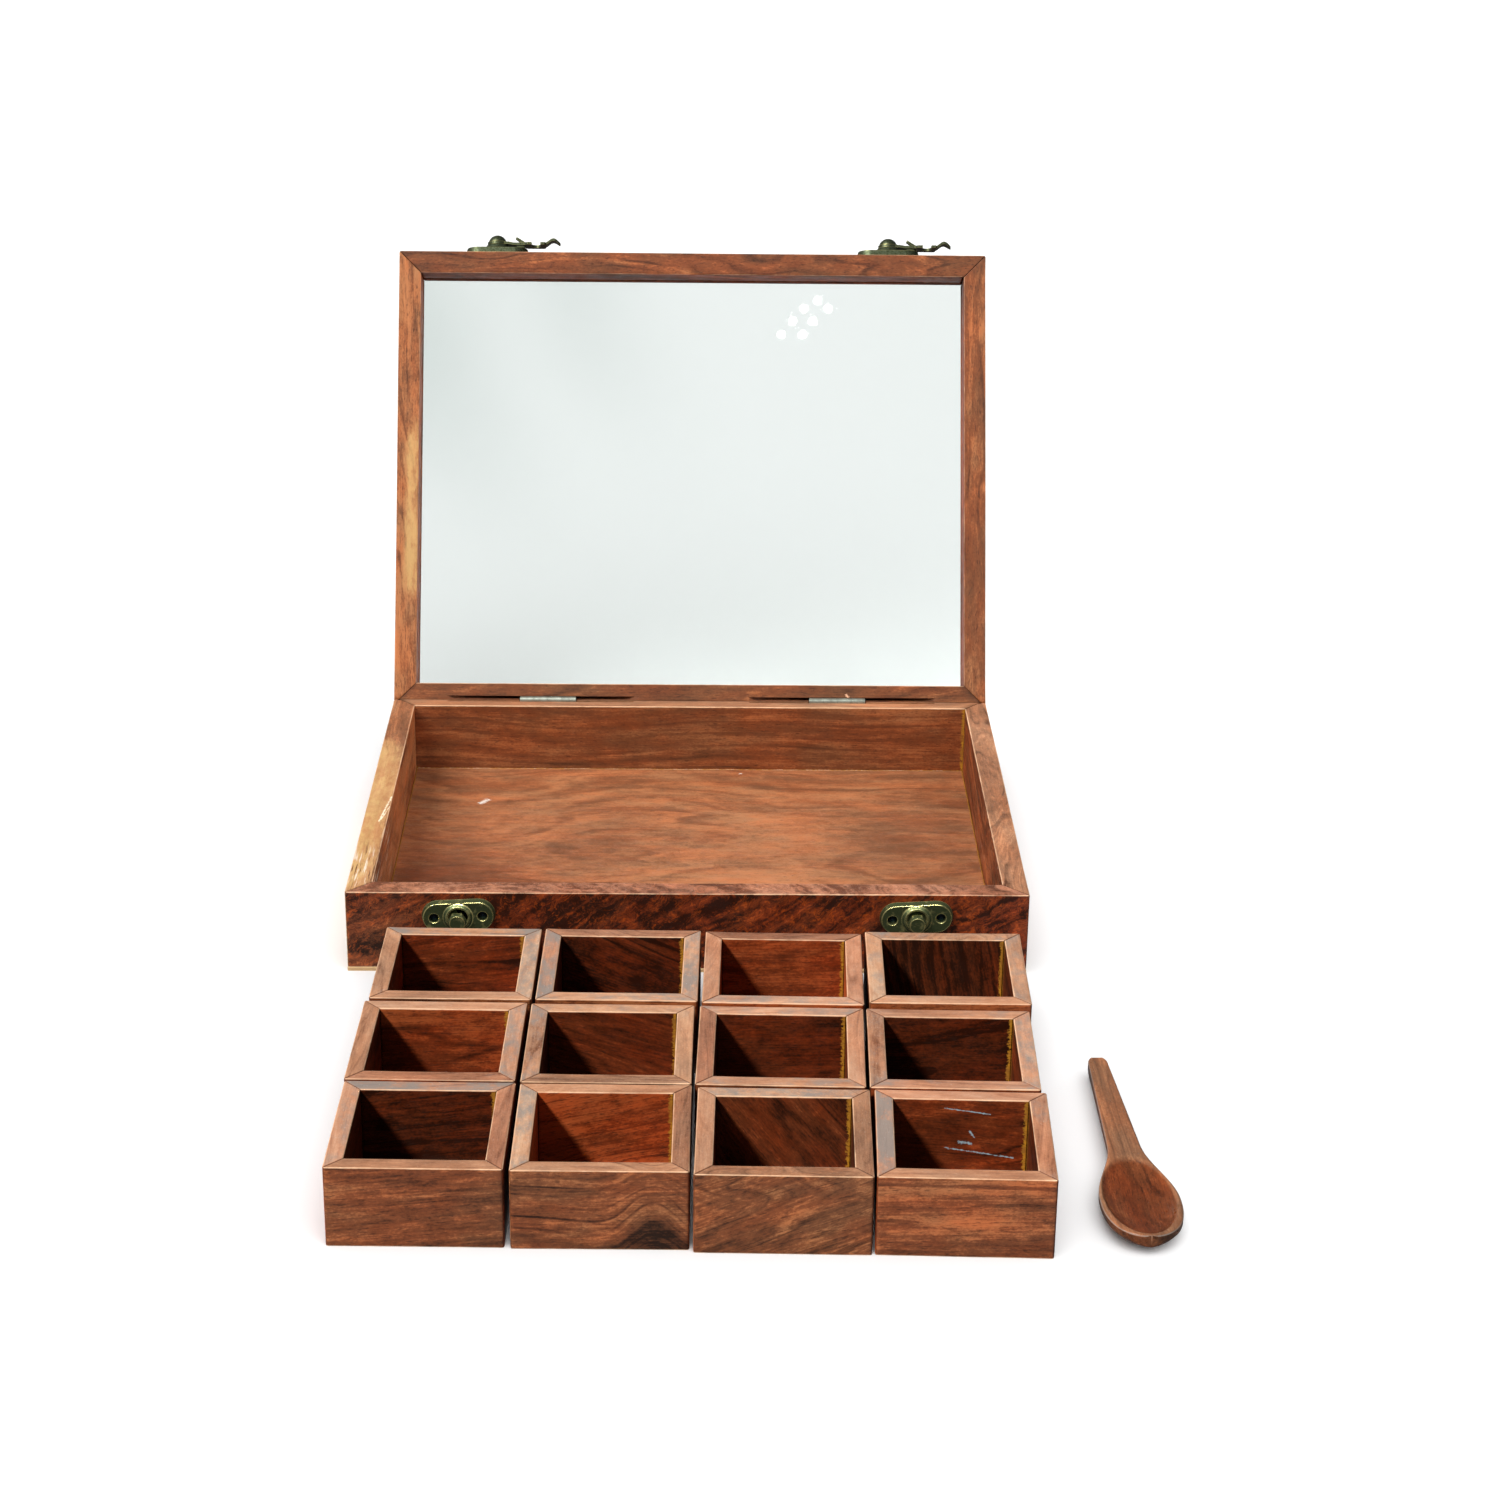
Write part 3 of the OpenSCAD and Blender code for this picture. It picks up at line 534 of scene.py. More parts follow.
def oiled_rosewood(name, dark=0.0, red=0.0, gloss=0.5, rub=1.0, contrast=0.55, fine=1.3, curl=0.0, clouds=2.4,
                   flecks=0.0, worn="edge", scratches=()):
    """Indian rosewood (sheesham), planed, sanded by hand and wiped with a thin dark polish.
    The eye gets red brown heartwood with irregular near-black streaks 2 to 6 mm apart that follow the growth
    rings, thin darker ring lines, fibres about 0.6 mm across and some 25 mm long, open pores as short dark
    dashes, cloudy patches some 20 mm wide that run from greyer to redder brown, paler, pinkish faces where
    the polish is rubbed off, and bright thin edges that are partly rubbed wear and partly a painted
    highlight. With curl, the fibres wind about as in burl wood; flecks are its orange flames, some 2 mm
    across."""
    material, tree = new_material(name)
    grain = add(tree, "Attribute", attribute_name="grain").outputs["Vector"]
    ring = add(tree, "Attribute", attribute_name="ring").outputs["Fac"]
    seam = add(tree, "Attribute", attribute_name="seam").outputs["Fac"]
    wear, tone, figure = (
        add(tree, "SeparateXYZ", (add(tree, "Attribute", attribute_name=mark).outputs["Vector"],)).outputs
        for mark in ("wear", "tone", "figure"))
    edge_wear_and_highlight, glue_dust, sapwood = wear
    lightness, redder, rubbing = tone
    wandering, line_strength, tearing = figure
    place = grain
    if curl:
        winding = add(tree, "TexNoise", {"Vector": grain, "Scale": 1 / (7 * MM), "Detail": 3.0})
        centred = add(tree, "VectorMath", (winding.outputs["Color"], (0.5, 0.5, 0.5)), **LESS)
        pushed = add(tree, "VectorMath", {0: centred, "Scale": curl}, operation="SCALE")
        place = add(tree, "VectorMath", (grain, pushed), **PLUS)
    noises = {**WOOD_NOISES, "cloud": (clouds, 20 * MM, 4.0, 0.6)}
    if curl:
        noises["fibre"] = (7, *WOOD_NOISES["fibre"][1:])
    noise = {}
    for key, (stretch, size, detail, rough) in noises.items():
        squeezed = add(tree, "VectorMath", (place, (1 / stretch, 1, 1)), **TIMES)
        noise[key] = add(tree, "TexNoise", {"Vector": squeezed, "Scale": 1 / size, "Detail": detail,
                                            "Roughness": rough})
    fibre, mottle, speck, patch = (noise[key] for key in ("fibre", "mottle", "speck", "patch"))

    # streaks: noise over the ring count, which drifts by some millimetres over 14 mm across the grain
    drift = add(tree, "Math", (noise["drift"], 0.5), **LESS)
    drift = add(tree, "Math", (drift, wandering), **TIMES)
    wander = add(tree, "Math", (drift, 6.0, ring), **TIMES_PLUS)
    along = add(tree, "Math", (add(tree, "SeparateXYZ", (grain,)), 1 / (70 * MM)), **TIMES)
    rings = add(tree, "CombineXYZ", (wander, along))
    band = add(tree, "TexNoise", {"Vector": rings, "Scale": 1.0, "Detail": 4.0, "Roughness": 0.56})
    # ring lines: a narrow dark crest of a sine, broken up along the board
    turns = add(tree, "Math", (wander, 2 * math.pi * 0.8), **TIMES)
    crest = add(tree, "MapRange", (add(tree, "Math", (turns,), operation="SINE"), 0.6, 1.0))
    gaps = add(tree, "MapRange", (noise["gaps"], 0.4, 0.6))
    broken = add(tree, "Math", (crest, gaps), **TIMES)
    lines = add(tree, "Math", (broken, line_strength), **TIMES)

    # all parts summed into one lightness, which picks the heartwood's shade
    total = 0.5 + dark
    for part, strength in ((band, 1.5), (fibre, 0.46 * fine), (noise["cloud"], 0.75), (mottle, 0.58 * fine),
                           (speck, 0.38 * fine)):
        swing = add(tree, "Math", (part, 0.5), **LESS)
        total = add(tree, "Math", (swing, strength * contrast, total), **TIMES_PLUS)
    total = add(tree, "Math", (lightness, 0.2, total), **TIMES_PLUS)
    total = add(tree, "Math", (lines, -0.24, total), **TIMES_PLUS)
    heart = add(tree, "ValToRGB", (total,), stops=[
        (0.20, shade("streak")), (0.36, blend(shade("streak"), shade("heart"), 0.5)), (0.50, shade("heart")),
        (0.63, blend(shade("heart"), shade("light"), 0.7)), (0.80, shade("light"))])
    cooler = add(tree, "Mix", {0: 1.0, 6: heart, 7: (0.90, 1.02, 1.06, 1)}, **TINT)
    warmer = add(tree, "Mix", {0: 1.0, 6: heart, 7: (1.10, 0.98, 0.86, 1)}, **TINT)
    hue = add(tree, "MapRange", (noise["hue"], 0.38, 0.62))
    wood = add(tree, "Mix", {0: hue, 6: cooler, 7: warmer}, **PAINT)
    redness = add(tree, "Math", (redder, red), use_clamp=True, **PLUS)
    wood = add(tree, "Mix", {0: redness, 6: wood, 7: (1.06, 0.56, 0.38, 1)}, **TINT)
    if flecks:
        rough = add(tree, "Math", (mottle, fibre), **PLUS)
        flame = add(tree, "MapRange", (rough, 1.06, 1.3))
        flame = add(tree, "Math", (flame, flecks), use_clamp=True, **TIMES)
        wood = add(tree, "Mix", {0: flame, 6: wood, 7: shade("flame")}, **PAINT)
    pore = add(tree, "MapRange", (noise["pore"], 0.60, 0.70))
    half_pore = add(tree, "Math", (pore, 0.5), **TIMES)
    wood = add(tree, "Mix", {0: half_pore, 6: wood, 7: shade("streak")}, **PAINT)

    # sapwood: the mark plus the cloudy noise, with a ragged border
    clouded = add(tree, "Math", (mottle, noise["cloud"]), **PLUS)
    paler = add(tree, "MapRange", (clouded, 0.82, 1.12))
    dull_sap = blend(shade("sap"), shade("light"), 0.7)
    sap_wood = add(tree, "Mix", {0: paler, 6: dull_sap, 7: shade("sap")}, **PAINT)
    border = add(tree, "Math", (clouded, 0.5, sapwood), **TIMES_PLUS)
    ragged = add(tree, "MapRange", (border, 0.85, 1.15))
    sappy = add(tree, "Math", (ragged, sapwood), use_clamp=True, **TIMES)
    wood = add(tree, "Mix", {0: sappy, 6: wood, 7: sap_wood}, **PAINT)

    # rubbed upward faces: the same figure in paler, pinkish shades, with grey dust in patches and scuffs
    bare = add(tree, "ValToRGB", (total,), stops=[
        (0.16, shade("rubbed_dark")), (0.36, blend(shade("rubbed_dark"), shade("rubbed"), 0.65)),
        (0.52, shade("rubbed")), (0.84, blend(shade("rubbed"), shade("edge"), 0.75))])
    cool_bare = add(tree, "Mix", {0: 1.0, 6: bare, 7: (0.86, 0.96, 1.06, 1)}, **TINT)
    hue = add(tree, "MapRange", (noise["hue"], 0.35, 0.65))
    bare = add(tree, "Mix", {0: hue, 6: cool_bare, 7: bare}, **PAINT)
    bare = add(tree, "Mix", {0: redness, 6: bare, 7: (1.0, 0.86, 0.86, 1)}, **TINT)
    rubbed = add(tree, "Math", (rubbing, 0.8 * rub), use_clamp=True, **TIMES)
    wood = add(tree, "Mix", {0: rubbed, 6: wood, 7: bare}, **PAINT)
    dusted = add(tree, "Math", (patch, rubbing), **TIMES)
    film = add(tree, "MapRange", (dusted, 0.50, 0.84, 0.0, 0.8))
    wood = add(tree, "Mix", {0: film, 6: wood, 7: shade("film")}, **PAINT)
    scuff = add(tree, "MapRange", (speck, 0.66, 0.74))
    share = add(tree, "Math", (rubbing, 0.35), **TIMES)
    scuff = add(tree, "Math", (scuff, share), use_clamp=True, **TIMES)
    wood = add(tree, "Mix", {0: scuff, 6: wood, 7: blend(shade("film"), grey(1.0), 0.4)}, **PAINT)

    # torn fibres: dark splits and near-white slivers along the board
    dark_split = add(tree, "MapRange", (noise["split"], 0.45, 0.39))
    dark_split = add(tree, "Math", (dark_split, tearing), use_clamp=True, **TIMES)
    sliver = add(tree, "MapRange", (noise["split"], 0.56, 0.64))
    sliver = add(tree, "Math", (sliver, tearing), use_clamp=True, **TIMES)
    wood = add(tree, "Mix", {0: dark_split, 6: wood, 7: blend(shade("streak"), shade("heart"), 0.5)}, **PAINT)
    wood = add(tree, "Mix", {0: sliver, 6: wood, 7: blend(shade("sap"), grey(1.0), 0.45)}, **PAINT)

    # worn edges, partly rubbed wear and partly a painted highlight, and glue dust in the inner corners
    patchy = add(tree, "Math", (patch, 0.45), **PLUS)
    patchy = add(tree, "Math", (edge_wear_and_highlight, patchy), **TIMES)
    patchy = add(tree, "MapRange", (patchy, 0.30, 0.66))
    wood = add(tree, "Mix", {0: patchy, 6: wood, 7: shade(worn)}, **PAINT)
    darker = add(tree, "MapRange", (mottle, 0.4, 0.6))
    dark_glue = blend(shade("glue"), shade("heart"), 0.6)
    glue = add(tree, "Mix", {0: darker, 6: shade("glue"), 7: dark_glue}, **PAINT)
    grainy = add(tree, "Math", (speck, mottle), **PLUS)
    dusty = add(tree, "Math", (grainy, glue_dust), **TIMES)
    dusty = add(tree, "MapRange", (dusty, 0.80, 1.0, 0.0, 0.95))
    wood = add(tree, "Mix", {0: dusty, 6: wood, 7: glue}, **PAINT)

    # scratches: pale where the distance to a line between two points of the board is under its width
    for start, end, width, pale in scratches:
        run = end - start
        away = add(tree, "VectorMath", (grain, tuple(start)), **LESS)
        share = add(tree, "VectorMath", (away, tuple(run / (run @ run))), operation="DOT_PRODUCT")
        share = add(tree, "Math", (share, 1.0), use_clamp=True, **TIMES)
        nearest = add(tree, "VectorMath", {0: tuple(run), "Scale": share}, operation="SCALE")
        off = add(tree, "VectorMath", (away, nearest), operation="DISTANCE")
        wobble = add(tree, "Math", (speck, 0.48), **LESS)
        wobble = add(tree, "Math", (wobble, width * 3.5), **TIMES)
        off = add(tree, "Math", (off, wobble), **PLUS)
        line = add(tree, "MapRange", (off, width, width * 0.2, 0.0, 0.9))
        wood = add(tree, "Mix", {0: line, 6: wood, 7: pale}, **PAINT)
    in_joint = add(tree, "Math", (seam, 0.75), use_clamp=True, **TIMES)
    base = add(tree, "Mix", {0: in_joint, 6: wood, 7: shade("streak")}, **PAINT)

    height = add(tree, "Math", (pore, -0.8, fibre), **TIMES_PLUS)
    height = add(tree, "Math", (dark_split, -3.0, height), **TIMES_PLUS)
    height = add(tree, "Math", (mottle, 0.5, height), **TIMES_PLUS)
    bump = add(tree, "Bump", {"Height": height, "Strength": 0.45, "Distance": 0.14 * MM})
    rough = add(tree, "MapRange", (patch, 0.3, 0.7, gloss - 0.08, gloss + 0.14))
    shader = add(tree, "BsdfPrincipled", {"Base Color": base, "Roughness": rough, "Normal": bump, "IOR": 1.5,
                                          "Specular IOR Level": 0.2})
    add(tree, "OutputMaterial", {"Surface": shader})
    return material


def birch_plywood(name):
    """Three-ply birch sheet, sawn and left raw: pale tan, a darker core line in its edge and short fibres."""
    material, tree = new_material(name)
    place = add(tree, "TexCoord").outputs["Object"]
    squeezed = add(tree, "VectorMath", (place, (1 / 20, 1, 4)), **TIMES)
    fibres = add(tree, "TexNoise", {"Vector": squeezed, "Scale": 1 / (1.2 * MM), "Detail": 3.0})
    height = add(tree, "SeparateXYZ", (place,)).outputs["Z"]
    above_core = add(tree, "Math", (height, SHEET_T / 2), **LESS)
    off_core = add(tree, "Math", (above_core,), operation="ABSOLUTE")
    core = add(tree, "MapRange", (off_core, 0.3 * MM, 0.15 * MM, 0.0, 0.5))
    dark_ply = blend(shade("ply"), shade("heart"), 0.35)
    face = add(tree, "Mix", {0: fibres, 6: dark_ply, 7: shade("ply")}, **PAINT)
    base = add(tree, "Mix", {0: core, 6: face, 7: shade("heart")}, **PAINT)
    bump = add(tree, "Bump", {"Height": fibres, "Strength": 0.4, "Distance": 0.15 * MM})
    shader = add(tree, "BsdfPrincipled", {"Base Color": base, "Roughness": 0.75, "Normal": bump,
                                          "Specular IOR Level": 0.25})
    add(tree, "OutputMaterial", {"Surface": shader})
    return material


def tarnished_brass(name, worn, green):
    """Cast brass tumbled and darkened with an olive antique finish: dark in the hollows, bright yellow green
    on the edges, partly rubbed wear and partly a painted highlight, and on rubbed high spots, with a fine
    cast grain of about 0.7 mm. Worn is how far it is rubbed and how strong the painted edge highlight is, and
    green is how much of the cooler tarnish it has."""
    material, tree = new_material(name)
    place = add(tree, "TexCoord").outputs["Object"]
    cast = add(tree, "TexNoise", {"Vector": place, "Scale": 1 / (0.7 * MM), "Detail": 3.0})
    patch = add(tree, "TexNoise", {"Vector": place, "Scale": 1 / (3.5 * MM), "Detail": 4.0, "Roughness": 0.6})
    # the rounded normal differs from the true one within 0.5 mm of an edge; there the brass is painted
    # bright, partly as wear and partly as a painted highlight
    rounded = add(tree, "Bevel", {"Radius": 0.5 * MM}, samples=4)
    true_normal = add(tree, "NewGeometry").outputs["Normal"]
    same = add(tree, "VectorMath", (rounded, true_normal), operation="DOT_PRODUCT")
    edge = add(tree, "MapRange", (same, 0.998, 0.90))
    # edge brightening broken up by patches: partly wear, partly a painted highlight
    rubbed = add(tree, "Math", (edge, patch), **TIMES)
    high = add(tree, "MapRange", (patch, 0.55, 0.75, 0.0, 0.3 * worn))
    bright = add(tree, "Math", (rubbed, 3.2 * worn, high), use_clamp=True, **TIMES_PLUS)
    cooler = add(tree, "MapRange", (cast, 0.35, 0.6, 0.0, green))
    tarnish = add(tree, "Mix", {0: cooler, 6: shade("patina"), 7: shade("verdigris")}, **PAINT)
    base = add(tree, "Mix", {0: bright, 6: tarnish, 7: shade("brass")}, **PAINT)
    bump = add(tree, "Bump", {"Height": cast, "Strength": 0.25, "Distance": 0.08 * MM})
    rough = add(tree, "MapRange", (bright, 0.0, 1.0, 0.5, 0.2))
    shader = add(tree, "BsdfPrincipled", {"Base Color": base, "Metallic": 0.9, "Roughness": rough,
                                          "Normal": bump})
    add(tree, "OutputMaterial", {"Surface": shader})
    return material


def plated_steel(name, tint, dull):
    """Pressed sheet steel, zinc plated or blued: even and cool, with cloudy scuffs some 2 mm across."""
    material, tree = new_material(name)
    place = add(tree, "TexCoord").outputs["Object"]
    scuff = add(tree, "TexNoise", {"Vector": place, "Scale": 1 / (2.2 * MM), "Detail": 4.0, "Roughness": 0.7})
    base = add(tree, "Mix", {0: scuff, 6: blend(shade(tint), grey(0.02), 0.35), 7: shade(tint)}, **PAINT)
    rough = add(tree, "MapRange", (scuff, 0.3, 0.7, dull - 0.08, dull + 0.12))
    shader = add(tree, "BsdfPrincipled", {"Base Color": base, "Metallic": 0.9, "Roughness": rough})
    add(tree, "OutputMaterial", {"Surface": shader})
    return material


def clear_pane(name):
    """Clear cast acrylic sheet: nearly no colour and glossy. A painted reflection lies across it as soft
    grey-blue bands 85 mm apart, strongest near the upper left corner as it stands open."""
    material, tree = new_material(name)
    place = add(tree, "TexCoord").outputs["Object"]
    bent = add(tree, "TexNoise", {"Vector": place, "Scale": 1 / (120 * MM), "Detail": 1.0})
    across = add(tree, "VectorMath", (place, (0.80, 0.0, 0.55)), operation="DOT_PRODUCT")
    shifted = add(tree, "Math", (bent, 60 * MM, across), **TIMES_PLUS)
    turns = add(tree, "Math", (shifted, 2 * math.pi / (85 * MM)), **TIMES)
    wave = add(tree, "Math", (turns,), operation="SINE")
    wave = add(tree, "Math", (wave, 0.3, 0.7), **TIMES_PLUS)
    x, _, z = add(tree, "SeparateXYZ", (place,)).outputs
    left = add(tree, "MapRange", (x, 30 * MM, -115 * MM), interpolation_type="SMOOTHSTEP")
    upper = add(tree, "MapRange", (z, 60 * MM, 190 * MM), interpolation_type="SMOOTHSTEP")
    share = add(tree, "Math", (left, upper), **TIMES)
    share = add(tree, "Math", (share, wave), **TIMES)
    # the painted reflection bands, mixed into the pane's colour
    reflection_bands = add(tree, "Math", (share, 0.9), use_clamp=True, **TIMES)
    tint = add(tree, "Mix", {0: reflection_bands, 6: shade("glass"), 7: shade("reflection_bands")}, **PAINT)
    rough = add(tree, "MapRange", (bent, 0.35, 0.7, 0.0, 0.02))
    shader = add(tree, "BsdfPrincipled", {"Base Color": tint, "Roughness": rough, "Transmission Weight": 1.0,
                                          "IOR": 1.49})
    add(tree, "OutputMaterial", {"Surface": shader})
    return material


def white_paper(name):
    """Matt white background paper, with a tooth of about 2 mm that hardly shows."""
    material, tree = new_material(name)
    place = add(tree, "TexCoord").outputs["Object"]
    tooth = add(tree, "TexNoise", {"Vector": place, "Scale": 1 / (2 * MM)})
    bump = add(tree, "Bump", {"Height": tooth, "Strength": 0.05, "Distance": 0.05 * MM})
    shader = add(tree, "BsdfPrincipled", {"Base Color": shade("table"), "Roughness": 0.95,
                                          "Specular IOR Level": 0.0, "Normal": bump})
    add(tree, "OutputMaterial", {"Surface": shader})
    return material


# Every material of the object by name, with what makes it and its settings. Contrast is that of the figure,
# fine the strength of the fibres, rub how far the rims are rubbed, and clouds the length of the patches.
FINISHES = {
    "oiled_rosewood": (oiled_rosewood, {"contrast": 0.6}),
    "burled_rosewood": (oiled_rosewood, {"dark": -0.13, "red": 0.95, "gloss": 0.45, "rub": 1.2,
                                         "contrast": 0.75, "curl": 9 * MM, "clouds": 0.35, "flecks": 0.8}),
    "sappy_rosewood": (oiled_rosewood, {}),
    "calm_rosewood": (oiled_rosewood, {"contrast": 0.28, "fine": 1.4}),
    "streaky_rosewood": (oiled_rosewood, {"contrast": 0.36, "fine": 1.5}),
    "floor_rosewood": (oiled_rosewood, {"dark": 0.05, "red": 0.12, "gloss": 0.42, "contrast": 0.3,
                                        "fine": 1.5}),
    "cup_rosewood": (oiled_rosewood, {"red": 0.08, "gloss": 0.42, "rub": 1.15, "contrast": 0.42,
                                      "fine": 1.7}),
    "spoon_rosewood": (oiled_rosewood, {"gloss": 0.3, "contrast": 0.3, "fine": 1.8, "worn": "film"}),
    "birch_plywood": (birch_plywood, {}),
    "rubbed_highlit_brass": (tarnished_brass, {"worn": 1.0, "green": 0.1}),
    "tarnished_brass": (tarnished_brass, {"worn": 0.25, "green": 0.7}),
    "zinc_plate": (plated_steel, {"tint": "zinc", "dull": 0.42}),
    "blued_nail": (plated_steel, {"tint": "steel", "dull": 0.3}),
    "clear_acrylic": (clear_pane, {}),
}


def finish(name):
    """The named material, made the first time that it is asked for."""
    maker, words = FINISHES[name]
    if name in MARKS:
        words = {**words, "scratches": scratch_lines(*MARKS[name])}
    return bpy.data.materials.get(name) or maker(name, **words)


# ---------------------------------------------------------------- boards of the box and the lid


# Scratches and chips by material: the seed of the board, a colour, and lines from one place to another on the
# board (x along it, y from its outer face, z up, in mm) with half their width in mm.
MARKS = {
    "sappy_rosewood": (5, "#f2e2c4", (((33.3, 6.4, 32.4), (9.5, 9.1, 32.4), 0.45),
                                      ((31.5, 7.0, 32.4), (19, 9.2, 32.4), 0.35))),
    "burled_rosewood": (3, "#e8b7a0", (((91.7, 0, 30.6), (98, 0, 29.2), 0.28),
                                       ((98.6, 0, 29), (100.6, 0, 28.9), 0.5))),
    "floor_rosewood": (11, "#ded6cc", (((-87.2, 140, 3.8), (-85, 143, 3.8), 1.6),
                                       ((21.5, 173, 3.8), (21.7, 173, 3.8), 0.8),
                                       ((30, 178.5, 3.8), (35, 178.5, 3.8), 0.6))),
    "streaky_rosewood": (21, "#eeb791", (((-67.9, 4.0, 32.8), (-66.9, 5.2, 32.8), 0.7),
                                         ((-66.0, 3.4, 32.8), (-65.6, 3.4, 32.8), 0.4))),
    "cup_rosewood": (45, "#a9c4cf", (((4.5, 6, 10.2), (-18.2, 6, 8.4), 0.34),
                                     ((6, 6, 24.8), (-9, 6, 23.9), 0.26),
                                     ((0, 6, 12.8), (-4, 6, 12.4), 0.6), ((-3, 6, 17), (-4.6, 6, 15), 0.4))),
}
SAW_CUT = 0.07 * MM        # what the saw takes off each end of a mitred board


def scratch_lines(seed, pale, lines):
    """A board's scratches as start, end, half width and colour, in the place of its wood pattern."""
    shift = board_shift(seed)
    return [(np.array(a) * MM + shift, np.array(b) * MM + shift, wide * MM, linear(pale) + (1.0,))
            for a, b, wide in lines]


def wall_board(side, low, high, seed, lid=False, groove=None, **more):
    """One board of the box or lid frame. Side 0 is the front, 1 the right, 2 the back and 3 the left."""
    turned = side % 2 == 1
    outline = [(0, low), (WALL_T, low)]
    if groove:
        bottom, top, depth = groove
        outline += [(WALL_T, bottom), (WALL_T - depth, bottom), (WALL_T - depth, top), (WALL_T, top)]
    outline += [(WALL_T, high), (0, high)]
    return {
        **BOARD, "length": BOX_D if turned else BOX_W, "outline": outline, "ease": sizes().board_ease,
        "mitre": 1.0, "cut": SAW_CUT, "corner": sizes().corner_ease, "sway": sizes().hand_sway,
        "face": -(BOX_W if turned else BOX_D) / 2, "turn": math.radians(90 * side), "lid": lid,
        "back_bevel": turned * (-1 if lid else 1), "seed": seed, "edge_wear_and_highlight": 0.62 if lid else 0.8, **more,
    }


def slotted_board(name, node, board, material, body):
    """A back board: the CAD node's own shape with its bevel, saw slots and barrel pockets, cut into narrow
    strips by planes across it so that the marks follow the wood, then eased."""
    work = merged_copy(node)
    low, high = np.min(board["outline"], axis=0)[1], np.max(board["outline"], axis=0)[1]
    cuts = (np.arange(-BOX_W / 2 + 4 * MM, BOX_W / 2, 4 * MM),
            np.array([0.5, 1.5, 4.5, 8, 9]) * MM,
            [low + 0.5 * MM, low + 1.5 * MM, high - 1.5 * MM, high - 0.5 * MM,
             *np.arange(low + 5 * MM, high - 2 * MM, 5 * MM)])
    turn, face = turn_z(board["turn"]), np.array([0, board["face"], 0])
    for direction, places in zip(np.eye(3), cuts):
        for place in places:
            point, normal = turn @ (direction * place + face), turn @ direction
            if board["lid"]:
                point, normal = lid_turned(point, -LID_OPEN), turn_x(-LID_OPEN) @ normal
            bmesh.ops.bisect_plane(work, geom=work.verts[:] + work.edges[:] + work.faces[:], dist=1e-7,
                                   plane_co=Vector(point), plane_no=Vector(normal))
    world = np.array([v.co[:] for v in work.verts])
    if board["lid"]:
        world = lid_turned(world, LID_OPEN)
    local = world @ turn - face
    from_end = np.maximum(board["length"] / 2 - local[:, 1] - np.abs(local[:, 0]), 0)
    finish_copy(work, name, material, body, node, 0.3 * MM, marks=board_marks(local, from_end, board))


class TEABOX_OT_box_boards(Operator):
    """The four mitred boards of the box"""
    bl_idname = "teabox.box_boards"
    bl_label = "Box boards"

    def execute(self, context):
        low, high = SHEET_T, BOX_H
        front = wall_board(
            0, low, high, 3, pith=(-14 * MM, 60 * MM, 0.05, 0.12, 3.4 * MM), waver=3 * MM, slope=38,
            tone=(-0.3, 0.2, 0.8), figure=(0.5, 0.1),
            spots=(((-118 * MM, 0, 10 * MM), (26 * MM, 9 * MM, 30 * MM), 0.15, -0.8),
                   ((-5 * MM, 7 * MM, BOX_H), (11 * MM, 4 * MM, 2 * MM), 0.1, 0.9),
                   ((60 * MM, 0, 14 * MM), (40 * MM, 3 * MM, 20 * MM), 0.25, 0.1)))
        left = wall_board(
            3, low, high, 5, pith=(40 * MM, 10 * MM, 0.05, 0.03, 4 * MM), tone=(0.1, 0.0, 0.3),
            # a negative deep paints light onto this wall's inner face
            dust=(0.7, 0.6), foot_dust=0.6, foot=FLOOR_TOP, deep=-0.6, deep_red=0.25,
            sap=((28 * MM, 78 * MM, 0, 12 * MM, 0.9),),
            torn=((78 * MM, 21 * MM, 4 * MM, 9 * MM, 1.0), (35 * MM, 12 * MM, 9 * MM, 2 * MM, 0.5)),
            spots=(((2 * MM, 5 * MM, BOX_H), (5 * MM, 4 * MM, 3 * MM), 0.8, 0.0),
                   ((-60 * MM, 6 * MM, BOX_H), (30 * MM, 4 * MM, 3 * MM), -0.4, 0.1)))
        right = wall_board(
            1, low, high, 7, pith=(20 * MM, 55 * MM, 0.35, 0.05, 3.2 * MM), tone=(-0.1, 0.1, 0.55), slope=6,
            figure=(1.5, 0.8), dust=(0.8, 1.0), foot_dust=0.9, foot=FLOOR_TOP, deep_red=0.4)
        back = wall_board(
            2, low, high, 9, pith=(25 * MM, -30 * MM, 0.02, 0.01, 4 * MM), tone=(0.1, -0.1, 0.4),
            figure=(0.3, 0.4), dust=(0.9, 0.5), foot_dust=0.85, foot=FLOOR_TOP, deep_red=0.3)
        put_boards("box_front_board", [front], finish("burled_rosewood"), "box", "box_front_wall")
        put_boards("box_left_board", [left], finish("sappy_rosewood"), "box", "box_left_wall")
        put_boards("box_right_board", [right], finish("oiled_rosewood"), "box", "box_right_wall")
        slotted_board("box_back_board", "box_back_wall", back, finish("calm_rosewood"), "box")
        return {"FINISHED"}


def flat_slab(width, depth, low, high, ease, seed, **more):
    """A loose flat board: a section of the whole depth carried along the width."""
    return {**BOARD, "length": width, "outline": [(0, low), (depth, low), (depth, high), (0, high)],
            "ease": ease, "seed": seed, "face": -depth / 2, "seam": 0.0, **more}


